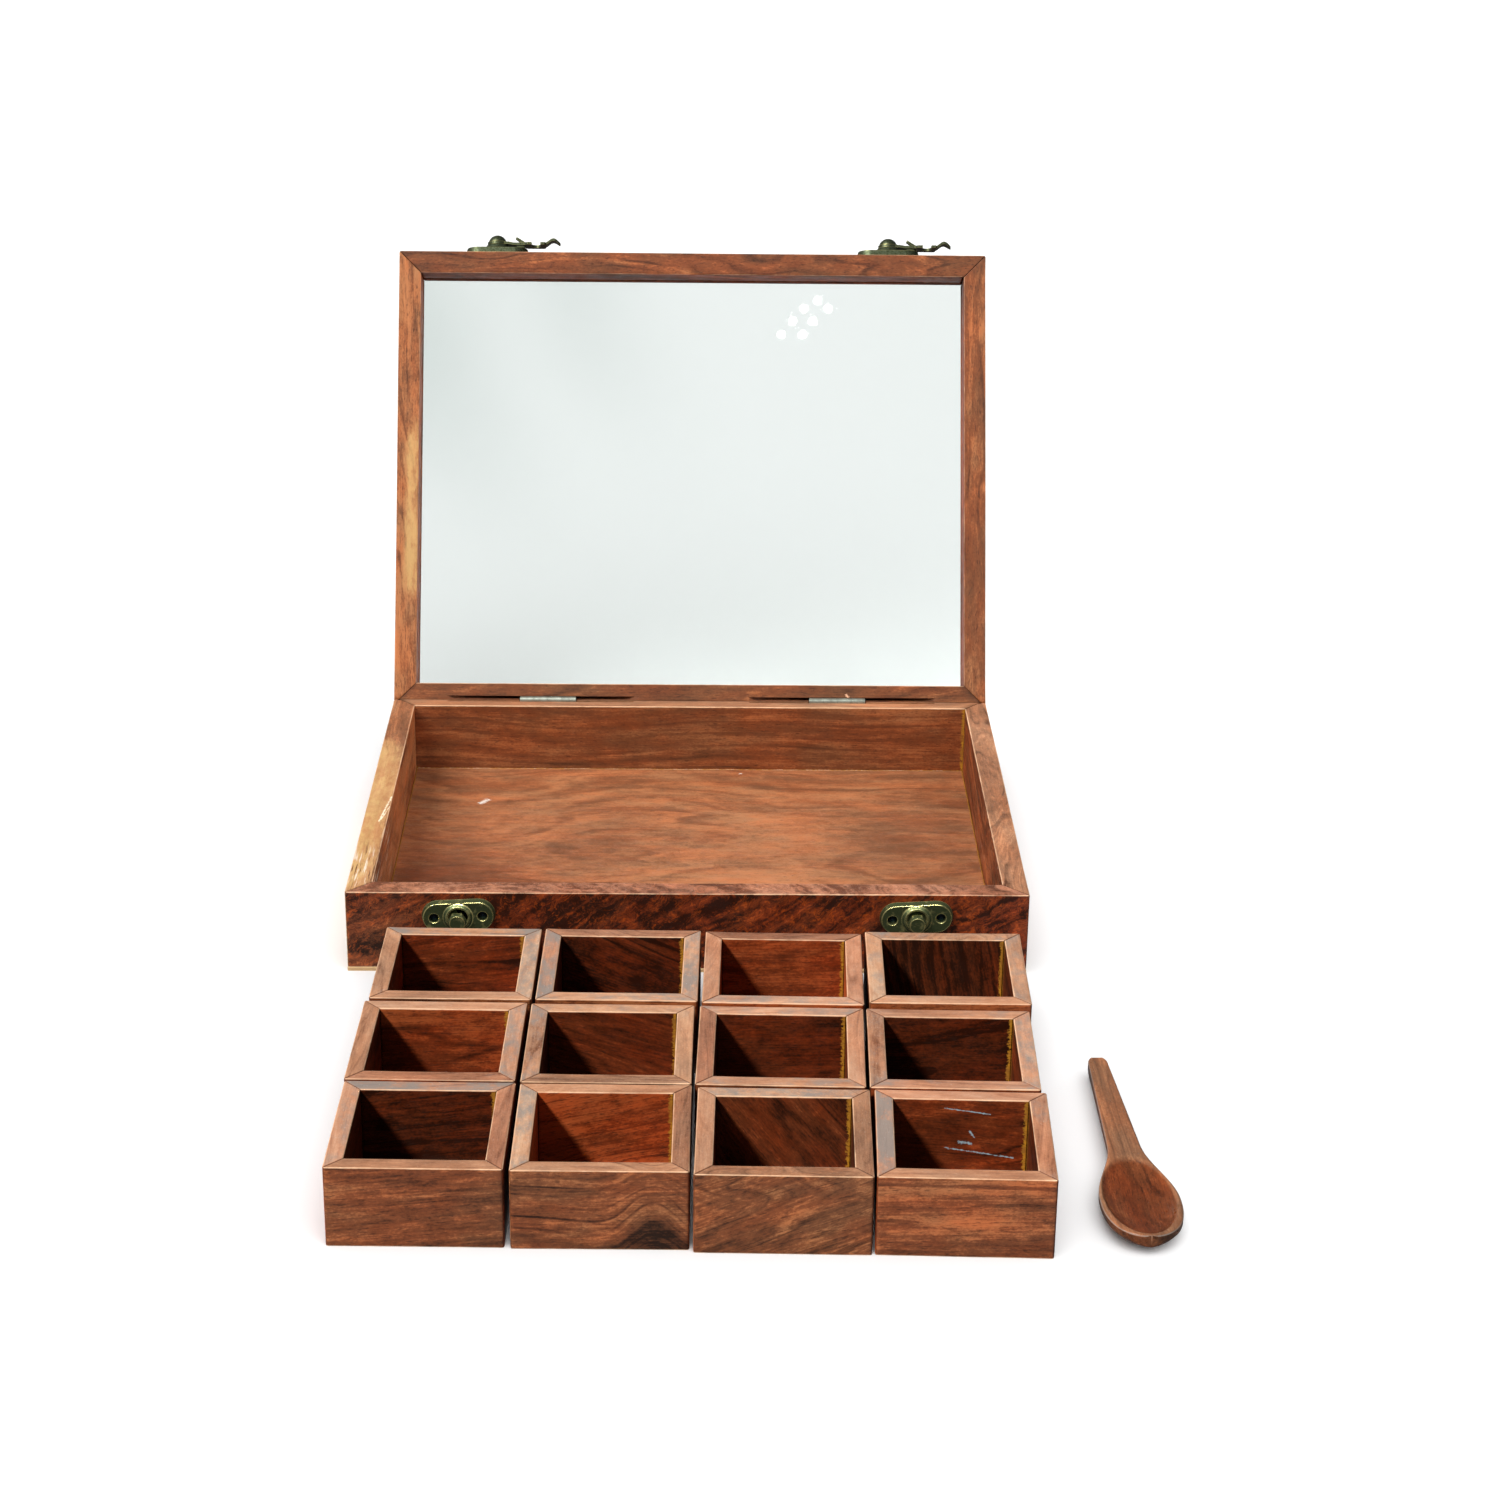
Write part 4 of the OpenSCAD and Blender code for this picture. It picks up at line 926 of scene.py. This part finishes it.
class TEABOX_OT_box_bottom(Operator):
    """The floor board and the pale sheet under the box"""
    bl_idname = "teabox.box_bottom"
    bl_label = "Box bottom"

    def execute(self, context):
        low, high = corners("floor_board")
        wide, deep, _ = high - low
        floor = flat_slab(
            wide, deep, low[2], high[2], 0.15 * MM, 11, pith=(90 * MM, 34 * MM, 0.04, 0.02, 10 * MM),
            waver=8 * MM, tone=(0.05, 0.0, 0.12), figure=(0.45, 0.35), border_dust=1.0, border=0.3 * MM,
            # darker and redder at the left end, partly redder wood and partly painted shade of the left wall;
            # lighter across the middle front, painted light where the front wall shades the floor
            spots=(((-95 * MM, 40 * MM, high[2]), (35 * MM, 45 * MM, 9 * MM), -0.9, 0.6),
                   ((35 * MM, 26 * MM, high[2]), (100 * MM, 36 * MM, 9 * MM), 0.8, -0.1)))
        put_boards("box_floor", [floor], finish("floor_rosewood"), "box", "floor_board")
        low, high = corners("bottom_sheet")
        wide, deep, _ = high - low
        sheet = flat_slab(wide, deep, low[2], high[2], 0.2 * MM, 13)
        put_boards("box_sheet", [sheet], finish("birch_plywood"), "box", "bottom_sheet")
        return {"FINISHED"}


class TEABOX_OT_lid_boards(Operator):
    """The four mitred boards of the lid"""
    bl_idname = "teabox.lid_boards"
    bl_label = "Lid boards"

    def execute(self, context):
        wood = finish("streaky_rosewood")
        size = sizes()
        low, high = LID_Z, LID_Z + size.lid_height
        play = 0.1 * MM
        pane_low = LID_Z + size.pane_in
        groove = (pane_low - play, pane_low + size.pane_thick + play, size.pane_groove)
        front = wall_board(
            0, low, high, 15, True, groove, pith=(40 * MM, 70 * MM, 0.1, 0.05, 3.5 * MM), slope=14,
            tone=(-0.1, 0.15, 0.3), spots=(((30 * MM, 0, high), (25 * MM, 9 * MM, 9 * MM), -0.2, 0.6),))
        right = wall_board(
            1, low, high, 17, True, groove, pith=(30 * MM, 80 * MM, 0.1, 0.05, 3.2 * MM), slope=7,
            tone=(0.0, 0.1, 0.3))
        left = wall_board(
            3, low, high, 19, True, groove, pith=(35 * MM, 66 * MM, 0.12, 0.08, 3.6 * MM),
            tone=(0.42, -0.1, 0.2), sap=((-14 * MM, 42 * MM, 8 * MM, 5 * MM, 0.66),))
        back = wall_board(
            2, low, high, 21, True, groove, pith=(28 * MM, 60 * MM, 0.2, 0.1, 3.8 * MM), tone=(-0.25, 0, 0.3),
            figure=(0.8, 0.3))
        for side, board in (("front", front), ("right", right), ("left", left)):
            put_boards(f"lid_{side}_board", [board], wood, "lid", f"lid_{side}_rail")
        slotted_board("lid_back_board", "lid_back_rail", back, wood, "lid")
        return {"FINISHED"}


class TEABOX_OT_pane(Operator):
    """The clear pane in the lid's groove"""
    bl_idname = "teabox.pane"
    bl_label = "Lid pane"

    def execute(self, context):
        acrylic = finish("clear_acrylic")
        piece = finish_copy(merged_copy("lid_pane"), "lid_glazing", acrylic, "lid", "lid_pane",
                            0.15 * MM)
        piece.visible_shadow = False
        return {"FINISHED"}


# ---------------------------------------------------------------- cups


def cup_place(name):
    """Centre, turn, width and height of a cup as it stands, from its CAD solids. The turn is that of the side
    between the lowest-y and the highest-x corner of its square bottom."""
    points = mesh_points(frame["nodes"][name + "_bottom"].data)
    first, second = points[points[:, 1].argmin()], points[points[:, 0].argmax()]
    angle = math.atan2(second[1] - first[1], second[0] - first[0])
    yaw = (angle + math.pi / 4) % (math.pi / 2) - math.pi / 4
    low, high = corners(name + "_walls")
    return (low + high) / 2, yaw, square_width(low, high, yaw), float(high[2])


def square_width(low, high, yaw):
    """Width of a turned square from its corners along x: their distance over cos plus sin of the turn."""
    return float((high[0] - low[0]) / (math.cos(yaw) + abs(math.sin(yaw))))


NO_KNOT = (0, 0, 1)
# Figure of the front row's front boards: pith line (y, z in mm, slant in y and z, ring width in mm), waver
# in mm, lightness, redness and dust on the rim, how far the rings wander and how dark their lines are, and a
# knot (place along the board, height and width in mm).
CUP_FRONTS = {
    "cup_01": ((-9, 70, 0.02, -0.02, 3.4), 1.0, (-0.3, 0.1, 0.8), (1.5, 0.2), NO_KNOT),
    "cup_02": ((-30, 62, 0.00, 0.05, 2.6), 0.8, (0.0, 0.1, 0.9), (0.35, 0.9), (17, 15, 10)),
    "cup_03": ((-6, 40, 0.10, -0.25, 5.0), 2.5, (-0.2, 0.0, 0.5), (2.6, 0.4), NO_KNOT),
    "cup_04": ((60, 70, 0.00, 0.02, 3.1), 0.3, (0.08, 0.25, 0.9), (0.25, 0.8), NO_KNOT),
}
# Painted shade inside each cup (how much darker its inner faces are, lighter where negative) and how much
# redder they are, partly painted bounce light; then the dust on its four rims (front, right, back, left).
CUP_INNER_SHADE = ((0.95, 0.4), (-0.5, 0.75), (0.7, 0.5), (0.7, 0.5), (0.4, 0.8), (0.9, 0.95), (1.0, 1.0),
               (1.1, 1.0), (0.2, 0.95), (0.7, 0.8), (-0.75, 1.2), (0.7, 0.7))
CUP_DUST = ((0.8, 0.9, 1.8, 1.1), (1.3, 0.8, 0.8, 1.35), (0.9, 0.9, 1.4, 0.8), (0.8, 1.1, 0.9, 1.75),
            (1.0, 1.4, 0.9, 0.9), (0.9, 0.9, 1.1, 1.35), (1.3, 0.9, 1.2, 0.9), (1.2, 1.3, 1.1, 1.25),
            (0.9, 1.35, 1.55, 1.1), (1.35, 1.5, 0.9, 1.75), (1.25, 1.0, 0.8, 1.0), (1.0, 1.25, 1.35, 1.1))
# Glue dust in the inner corners at the left and right end of each side's board.
CORNER_DUST = ((0.3, 0.3), (0.3, 1.0), (1.0, 0.3), (0.3, 0.3))
# Slope of the grain in degrees by side (front, right, back, left), where it is listed.
CUP_SLOPES = ({"cup_01": 6, "cup_03": 20}, {},
              {"cup_01": -8, "cup_02": -12, "cup_03": 52, "cup_04": 4, "cup_06": 14, "cup_09": -8,
               "cup_10": 22, "cup_12": 78}, {})


def cup_board(number, side, name, yaw, width, high):
    """One wall of a cup. Its figure comes from sines of its seed, save on the fronts that face the photo's
    camera, whose figure and finer spacing are listed."""
    size, seed = sizes(), 31 + 4 * number + side
    pith = (25, 18 + 9 * math.sin(seed), 0.10 * math.sin(1.3 * seed), 0.14 * math.sin(2.1 * seed), 3.0)
    tone = (0.5 * math.sin(1.7 * seed), 0.8 * math.sin(2.9 * seed) ** 2, CUP_DUST[number][side])
    waver, figure, knot, spacing = 2.0, (1.1, 0.5), NO_KNOT, 3.2 * MM
    if side == 0 and name in CUP_FRONTS:
        pith, waver, tone, figure, knot = CUP_FRONTS[name]
        spacing = 1.6 * MM
    # painted shade and redness of this cup's inner faces
    dark, red = CUP_INNER_SHADE[number]
    return {
        **BOARD, "length": width, "outline": [(0, 0), (size.cup_wall, 0), (size.cup_wall, high), (0, high)],
        "ease": size.cup_ease, "mitre": 1.0, "cut": SAW_CUT, "corner": size.corner_ease,
        "sway": size.hand_sway * 0.8, "face": -width / 2, "turn": math.radians(90 * side), "seed": seed,
        "yaw": yaw, "waver": waver * MM, "tone": tone, "figure": figure, "step": spacing, "stride": spacing,
        "deep": dark, "deep_red": red, "edge_width": 0.4 * MM, "dust": CORNER_DUST[side],
        "slope": CUP_SLOPES[side].get(name, 2.5 * math.sin(4.7 * seed)),
        "pith": (pith[0] * MM, pith[1] * MM, pith[2], pith[3], pith[4] * MM),
        "knot": tuple(part * MM for part in knot),
    }


class TEABOX_OT_cups(Operator):
    """The twelve loose cups, each of four mitred boards round a bottom"""
    bl_idname = "teabox.cups"
    bl_label = "Cups"

    def execute(self, context):
        wood = finish("cup_rosewood")
        for number, name in enumerate(CUPS):
            centre, yaw, width, high = cup_place(name)
            stands = {"at": (centre[0], centre[1], 0)}
            boards = [{**cup_board(number, side, name, yaw, width, high), **stands} for side in range(4)]
            put_boards(f"{name}_boards", boards, wood, name, name + "_walls")
            low, top = corners(name + "_bottom")
            inner = square_width(low, top, yaw)
            base = flat_slab(inner, inner, 0.0, top[2], 0.2 * MM, 80 + number, yaw=yaw, tone=(-0.1, 0.1, 0.0),
                             pith=(12 * MM, 16 * MM, 0.1, 0.05, 3 * MM), **stands)
            put_boards(f"{name}_base", [base], wood, name, name + "_bottom")
        return {"FINISHED"}


# ---------------------------------------------------------------- spoon


SPOON_ROWS, SPOON_ACROSS = 150, 34        # sections along the spoon, and steps across its top


def spoon_surface(size):
    """The carved spoon as closed sections carried from the handle's end to the bowl's tip.
    Half width: a straight taper to the neck, a cosine swell to the widest place, and a blunt oval to the tip.
    Top: level, less the hollow, a power of 0.6 of one minus the squared distances along and across, and eased
    over the last tenth of the width.
    Underside: level under the bowl, arched by half a sine under the handle, rising by a cube to the tip, and
    rising to the sides as a power of the distance from the middle line, which is the third under the bowl and
    the seventh under the handle."""
    long, front, bowl = size.spoon_length, size.spoon_bowl_front, size.spoon_bowl_width / 2
    neck, widest = long / 2, long - front
    s = long * (1 - np.cos(np.pi * (np.arange(SPOON_ROWS)[:, None] + 0.35) / (SPOON_ROWS - 0.3))) / 2
    taper = ((size.spoon_handle_width + (size.spoon_neck_width - size.spoon_handle_width) * s / neck) / 2
             * np.sqrt(1 - np.maximum(0, 1 - s / (3 * MM)) ** 2 * 0.6))
    swell = (size.spoon_neck_width / 2 + (size.spoon_bowl_width - size.spoon_neck_width) / 2
             * (1 - np.cos(np.pi * np.clip((s - neck) / (widest - neck), 0, 1))) / 2)
    nose = bowl * np.maximum(0, 1 - np.maximum(0, (s - widest) / front) ** 2.5) ** (1 / 2.2)
    half = np.where(s < neck, taper, np.where(s < widest, swell, nose))
    angle = np.linspace(0, np.pi, SPOON_ACROSS + 1)
    top_t, low_t = -np.cos(angle)[None, :], np.cos(angle)[None, 1:-1]
    hollow_back, hollow_mid = neck + 0.27 * (widest - neck), widest - 2 * MM
    reach = np.where(s < hollow_mid, hollow_mid - hollow_back, long - size.spoon_rim - hollow_mid)
    a, b = (s - hollow_mid) / reach, half * top_t / (bowl - size.spoon_rim)
    inside = np.maximum(1 - a * a - b * b, 0)
    narrow = np.clip(half / (2 * MM), 0, 1)
    top_z = (size.spoon_height - size.spoon_hollow * inside ** 0.6
             - 0.45 * MM * np.maximum(0, (np.abs(top_t) - 0.9) / 0.1) ** 2 * narrow)
    lift = np.where(s < neck, 0.8 * MM * np.sin(np.pi * s / neck), 0)
    under = lift + np.where(s > widest, 3.2 * MM * ((s - widest) / front) ** 3, 0)
    edge_z = size.spoon_height - 2.6 * MM
    power = 3 + 4 * np.clip(1 - (s - 0.6 * neck) / (0.5 * neck), 0, 1)
    low_z = under + (edge_z - under) * np.abs(low_t) ** power
    # under the rim, a row on each side starts the flank
    drop = 0.3 * MM * narrow
    flank_x = half * np.concatenate([[[1.0]], low_t, [[-1.0]]], axis=1)
    x = np.concatenate([half * top_t, flank_x], axis=1)
    z = np.concatenate([top_z, top_z[:, -1:] - drop, low_z, top_z[:, :1] - drop], axis=1)
    y = np.repeat(-s, x.shape[1], axis=1)
    rim = np.exp(-(1 - np.abs(top_t)) * half / (0.5 * MM))
    none = np.zeros_like(flank_x)
    hollow, rim, flank = (np.concatenate(pair, axis=1).ravel()
                          for pair in ((inside, none), (rim, none), (0 * inside, none + 1)))
    return np.stack([x, y, z], axis=-1), hollow, rim, flank


class TEABOX_OT_spoon(Operator):
    """The small carved spoon"""
    bl_idname = "teabox.spoon"
    bl_label = "Spoon"

    def execute(self, context):
        grid, hollow, rim, flank = spoon_surface(sizes())
        rows, count = grid.shape[:2]
        local = grid.reshape(-1, 3)
        points, near = mesh_points(frame["nodes"]["spoon"].data), 0.3 * MM
        back = points[points[:, 1] > points[:, 1].max() - near].mean(axis=0)
        tip = points[points[:, 1] < points[:, 1].min() + near].mean(axis=0)
        out = local @ turn_z(math.atan2(tip[0] - back[0], back[1] - tip[1])).T
        out[:, :2] += back[:2] - out[local[:, 1] > local[:, 1].max() - near][:, :2].mean(axis=0)
        quads, caps = loop_faces(rows, count)
        board = {**BOARD, "outline": [(-20 * MM, -20 * MM), (20 * MM, 20 * MM)], "seed": 97, "waver": 1 * MM,
                 "pith": (22 * MM, 30 * MM, 0.04, 0.03, 3 * MM), "tone": (0.3, 0.0, 0.0)}
        marks = board_marks(local[:, [1, 0, 2]], np.full(len(local), 1.0), board)
        carved = np.clip(hollow * 9, 0, 1)
        # a paler line along the spoon's rim: partly wear, partly a painted highlight
        marks["wear"][:, 0] = rim * 0.6
        # the hollow a little darker and redder; the flank much darker, a painted shade on the spoon's sides
        # and underside
        marks["tone"][:, 0] += -0.3 - 0.25 * carved - 0.8 * flank
        marks["tone"][:, 1] = carved * 0.5
        marks["tone"][:, 2] = 0.3 * (1 - carved) * (1 - flank)
        marks["seam"] *= 0
        put_piece("carved_spoon", out, quads + caps, marks, finish("spoon_rosewood"), "spoon", "spoon",
                  len(caps))
        return {"FINISHED"}


# ---------------------------------------------------------------- metal


def put_fittings(table):
    """Eased copies of CAD solids, each named after its solid. A row has its node, body, metal, slot and
    ease."""
    for node, body, metal, slot, ease in table:
        finish_copy(merged_copy(node), node + "_metal", finish(metal), body, node, ease)


class TEABOX_OT_hinges(Operator):
    """The two butt hinges with their pins and brads"""
    bl_idname = "teabox.hinges"
    bl_label = "Hinges"

    def execute(self, context):
        for side in ("left", "right"):
            put_fittings(((f"hinge_{side}_lower_leaf", "box", "zinc_plate", "zinc", 0.12 * MM),
                          (f"hinge_{side}_upper_leaf", "lid", "zinc_plate", "zinc", 0.12 * MM),
                          (f"hinge_{side}_pin", "box", "zinc_plate", "zinc", 0.08 * MM)))
        put_fittings([(f"hinge_brads_{body}", body, "blued_nail", "blued_steel", 0.08 * MM)
                      for body in ("box", "lid")])
        return {"FINISHED"}


class TEABOX_OT_catches(Operator):
    """The catch plates and studs on the box and the swing-arm latches on the lid"""
    bl_idname = "teabox.catches"
    bl_label = "Catches"

    def execute(self, context):
        ease = sizes().fitting_ease
        for side in ("left", "right"):
            put_fittings(((f"catch_{side}_plate", "box", "rubbed_highlit_brass", "old_brass", ease),
                          (f"catch_{side}_stud", "box", "rubbed_highlit_brass", "old_brass", ease),
                          (f"latch_{side}_plate", "lid", "tarnished_brass", "old_brass", ease),
                          (f"latch_{side}_rivet", "lid", "tarnished_brass", "old_brass", ease),
                          (f"latch_{side}_arm", f"latch_{side}", "tarnished_brass", "worn_brass",
                           ease * 0.8)))
        put_fittings((("catch_nails", "box", "blued_nail", "blued_steel", 0.1 * MM),
                      ("latch_nails", "lid", "blued_nail", "blued_steel", 0.1 * MM)))
        return {"FINISHED"}


# ---------------------------------------------------------------- stage


# The photo's camera: where it stands, how it is turned, and its lens on a sensor 36 mm wide.
CAMERA_AT = Vector((0.0037, -1.1252, 0.5141))
CAMERA_PITCH, CAMERA_YAW, CAMERA_ROLL = math.radians(22.43), math.radians(1.04), math.radians(-0.73)
CAMERA_LENS, SENSOR_WIDTH = 73.39, 36
# Where the ceiling lamps' images stand in the pane: right of its middle and up its slope, in metres.
LAMPS = ((0.0387, 0.0656), (0.0436, 0.0716), (0.0480, 0.0656), (0.0486, 0.0771), (0.0524, 0.0716),
         (0.0545, 0.0807), (0.0591, 0.0771))
LAMP_FAR, LAMP_WIDE, LAMP_WATTS = 1.4, 0.007, 0.0055       # metres, metres and watts
# The floor is a disc of these rings, in metres, so wide that its far edge stays out of every view.
FLOOR_RINGS, FLOOR_SPOKES = [0.4, 1.5, 6, 20, 40], 96


def put_in_scene(name, data):
    """Links a new object with that mesh, lamp or camera into the scene."""
    holder = bpy.data.objects.new(name, data)
    bpy.context.scene.collection.objects.link(holder)
    return holder


def add_sun(name, towards, strength, angle, receivers):
    """A sun that shines from the given direction, with edges as soft as that angle, on these objects only."""
    lamp = bpy.data.lights.new(name, "SUN")
    lamp.energy = strength
    lamp.angle = math.radians(angle)
    holder = put_in_scene(name, lamp)
    holder.rotation_euler = Vector(towards).to_track_quat("Z", "Y").to_euler()
    group = bpy.data.collections.new(name + "_on")
    for thing in receivers:
        group.objects.link(thing)
    holder.light_linking.receiver_collection = group


def lamp_place(aside, up):
    """Place and turn of a lamp whose image stands at that spot of the pane as the photo's camera sees it: on
    the line from the camera mirrored at the pane."""
    low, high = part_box("lid_pane")
    c, s = math.cos(LID_OPEN), math.sin(LID_OPEN)
    spot = (Vector(low) + Vector(high)) / 2 + Vector((aside, -up * c, up * s))
    normal = Vector((0.0, -s, -c))
    ray = (spot - CAMERA_AT).normalized()
    back = ray - 2 * ray.dot(normal) * normal
    return Matrix.Translation(spot + LAMP_FAR * back) @ back.to_track_quat("Z", "Y").to_matrix().to_4x4()


def camera_place():
    """Matrix of the photo's camera: its right, up and backward directions, from yaw, pitch and roll, and
    where it stands."""
    flat = math.cos(CAMERA_PITCH)
    ahead = np.array([math.sin(CAMERA_YAW) * flat, math.cos(CAMERA_YAW) * flat, -math.sin(CAMERA_PITCH)])
    level = np.array([math.cos(CAMERA_YAW), -math.sin(CAMERA_YAW), 0.0])
    down = np.cross(ahead, level)
    right = level * math.cos(CAMERA_ROLL) + down * math.sin(CAMERA_ROLL)
    below = -level * math.sin(CAMERA_ROLL) + down * math.cos(CAMERA_ROLL)
    columns = np.stack([right, -below, -ahead, CAMERA_AT], axis=1)
    return Matrix([*columns.tolist(), (0, 0, 0, 1)])


class TEABOX_OT_stage(Operator):
    """The pale floor, the soft studio light and the camera"""
    bl_idname = "teabox.stage"
    bl_label = "Stage"

    def execute(self, context):
        scene = context.scene
        things = [o for o in scene.objects if o.type == "MESH" and not o.hide_render]
        in_box = [thing for thing in things if thing.name.startswith(("box_", "lid_"))]
        loose = [thing for thing in things if thing not in in_box]
        brass = [thing for thing in things if thing.name.startswith("catch_")]

        angle = np.linspace(0, 2 * np.pi, FLOOR_SPOKES, endpoint=False)
        rings = np.array(FLOOR_RINGS)[:, None]
        points = np.stack([rings * np.cos(angle), rings * np.sin(angle), 0 * rings * angle], axis=-1)
        quads, (middle, _) = loop_faces(len(rings), FLOOR_SPOKES)
        mesh = bpy.data.meshes.new("table_top")
        mesh.from_pydata(points.reshape(-1, 3).tolist(), [], [*quads, middle])
        mesh.materials.append(white_paper("matt_white_paper"))
        floor = put_in_scene("table_top", mesh)
        floor.visible_glossy = False

        scene.world = bpy.data.worlds.new("studio")
        scene.world.use_nodes = True
        sky = scene.world.node_tree.nodes["Background"].inputs
        sky["Color"].default_value = (0.97, 0.99, 1.0, 1.0)
        sky["Strength"].default_value = 0.16
        add_sun("key_light", (-0.80, -0.60, 1.12), 4.6, 7, loose)
        add_sun("key_light_box", (-0.80, -0.60, 1.25), 4.1, 34, in_box)
        add_sun("table_light", (0.0, -0.15, 1.0), 2.3, 150, [floor])
        add_sun("table_front_light", (0.05, -0.6, 1.0), 1.8, 60, [floor])
        add_sun("fill_light", (0.85, -0.5, 0.8), 1.9, 60, in_box)
        add_sun("fitting_light", (0.1, -0.8, 1.6), 7.0, 40, brass)
        for number, spot in enumerate(LAMPS):
            lamp = bpy.data.lights.new(f"ceiling_lamp_{number}", "AREA")
            lamp.shape = "DISK"
            lamp.size = LAMP_WIDE
            lamp.energy = LAMP_WATTS
            holder = put_in_scene(lamp.name, lamp)
            holder.matrix_world = lamp_place(*spot)
            holder.visible_camera = False

        view = scene.view_settings
        view.view_transform = "Standard"
        view.look = "None"
        view.exposure = 0.0
        view.gamma = 1.0

        camera = bpy.data.cameras.new("photo_camera")
        camera.sensor_width = SENSOR_WIDTH
        camera.lens = CAMERA_LENS
        holder = put_in_scene("photo_camera", camera)
        holder.matrix_world = camera_place()
        scene.camera = holder
        return {"FINISHED"}


# ---------------------------------------------------------------- panel and run


class TEABOX_PT_panel(Panel):
    bl_idname = "TEABOX_PT_panel"
    bl_label = "Wooden tea bag box"
    bl_space_type = "VIEW_3D"
    bl_region_type = "UI"
    bl_category = "Tea box"

    def draw(self, context):
        layout = self.layout
        for operator in OPERATORS:
            layout.operator(operator.bl_idname)
        for group in (context.scene.teabox_sizes, context.scene.teabox_colours):
            for key in group.bl_rna.properties.keys():
                if key not in ("rna_type", "name"):
                    layout.prop(group, key)


OPERATORS = (TEABOX_OT_box_boards, TEABOX_OT_box_bottom, TEABOX_OT_lid_boards, TEABOX_OT_pane, TEABOX_OT_cups,
             TEABOX_OT_spoon, TEABOX_OT_hinges, TEABOX_OT_catches, TEABOX_OT_stage)
CLASSES = (TEABOX_PG_sizes, TEABOX_PG_colours, *OPERATORS, TEABOX_PT_panel)


def register():
    for each in CLASSES:
        bpy.utils.register_class(each)
    bpy.types.Scene.teabox_sizes = PointerProperty(type=TEABOX_PG_sizes)
    bpy.types.Scene.teabox_colours = PointerProperty(type=TEABOX_PG_colours)


def unregister():
    del bpy.types.Scene.teabox_colours
    del bpy.types.Scene.teabox_sizes
    for each in reversed(CLASSES):
        bpy.utils.unregister_class(each)


def main():
    register()
    bpy.ops.teabox.box_boards()
    bpy.ops.teabox.box_bottom()
    bpy.ops.teabox.lid_boards()
    bpy.ops.teabox.pane()
    bpy.ops.teabox.cups()
    bpy.ops.teabox.spoon()
    bpy.ops.teabox.hinges()
    bpy.ops.teabox.catches()
    bpy.ops.teabox.stage()


if __name__ == "__main__":
    main()
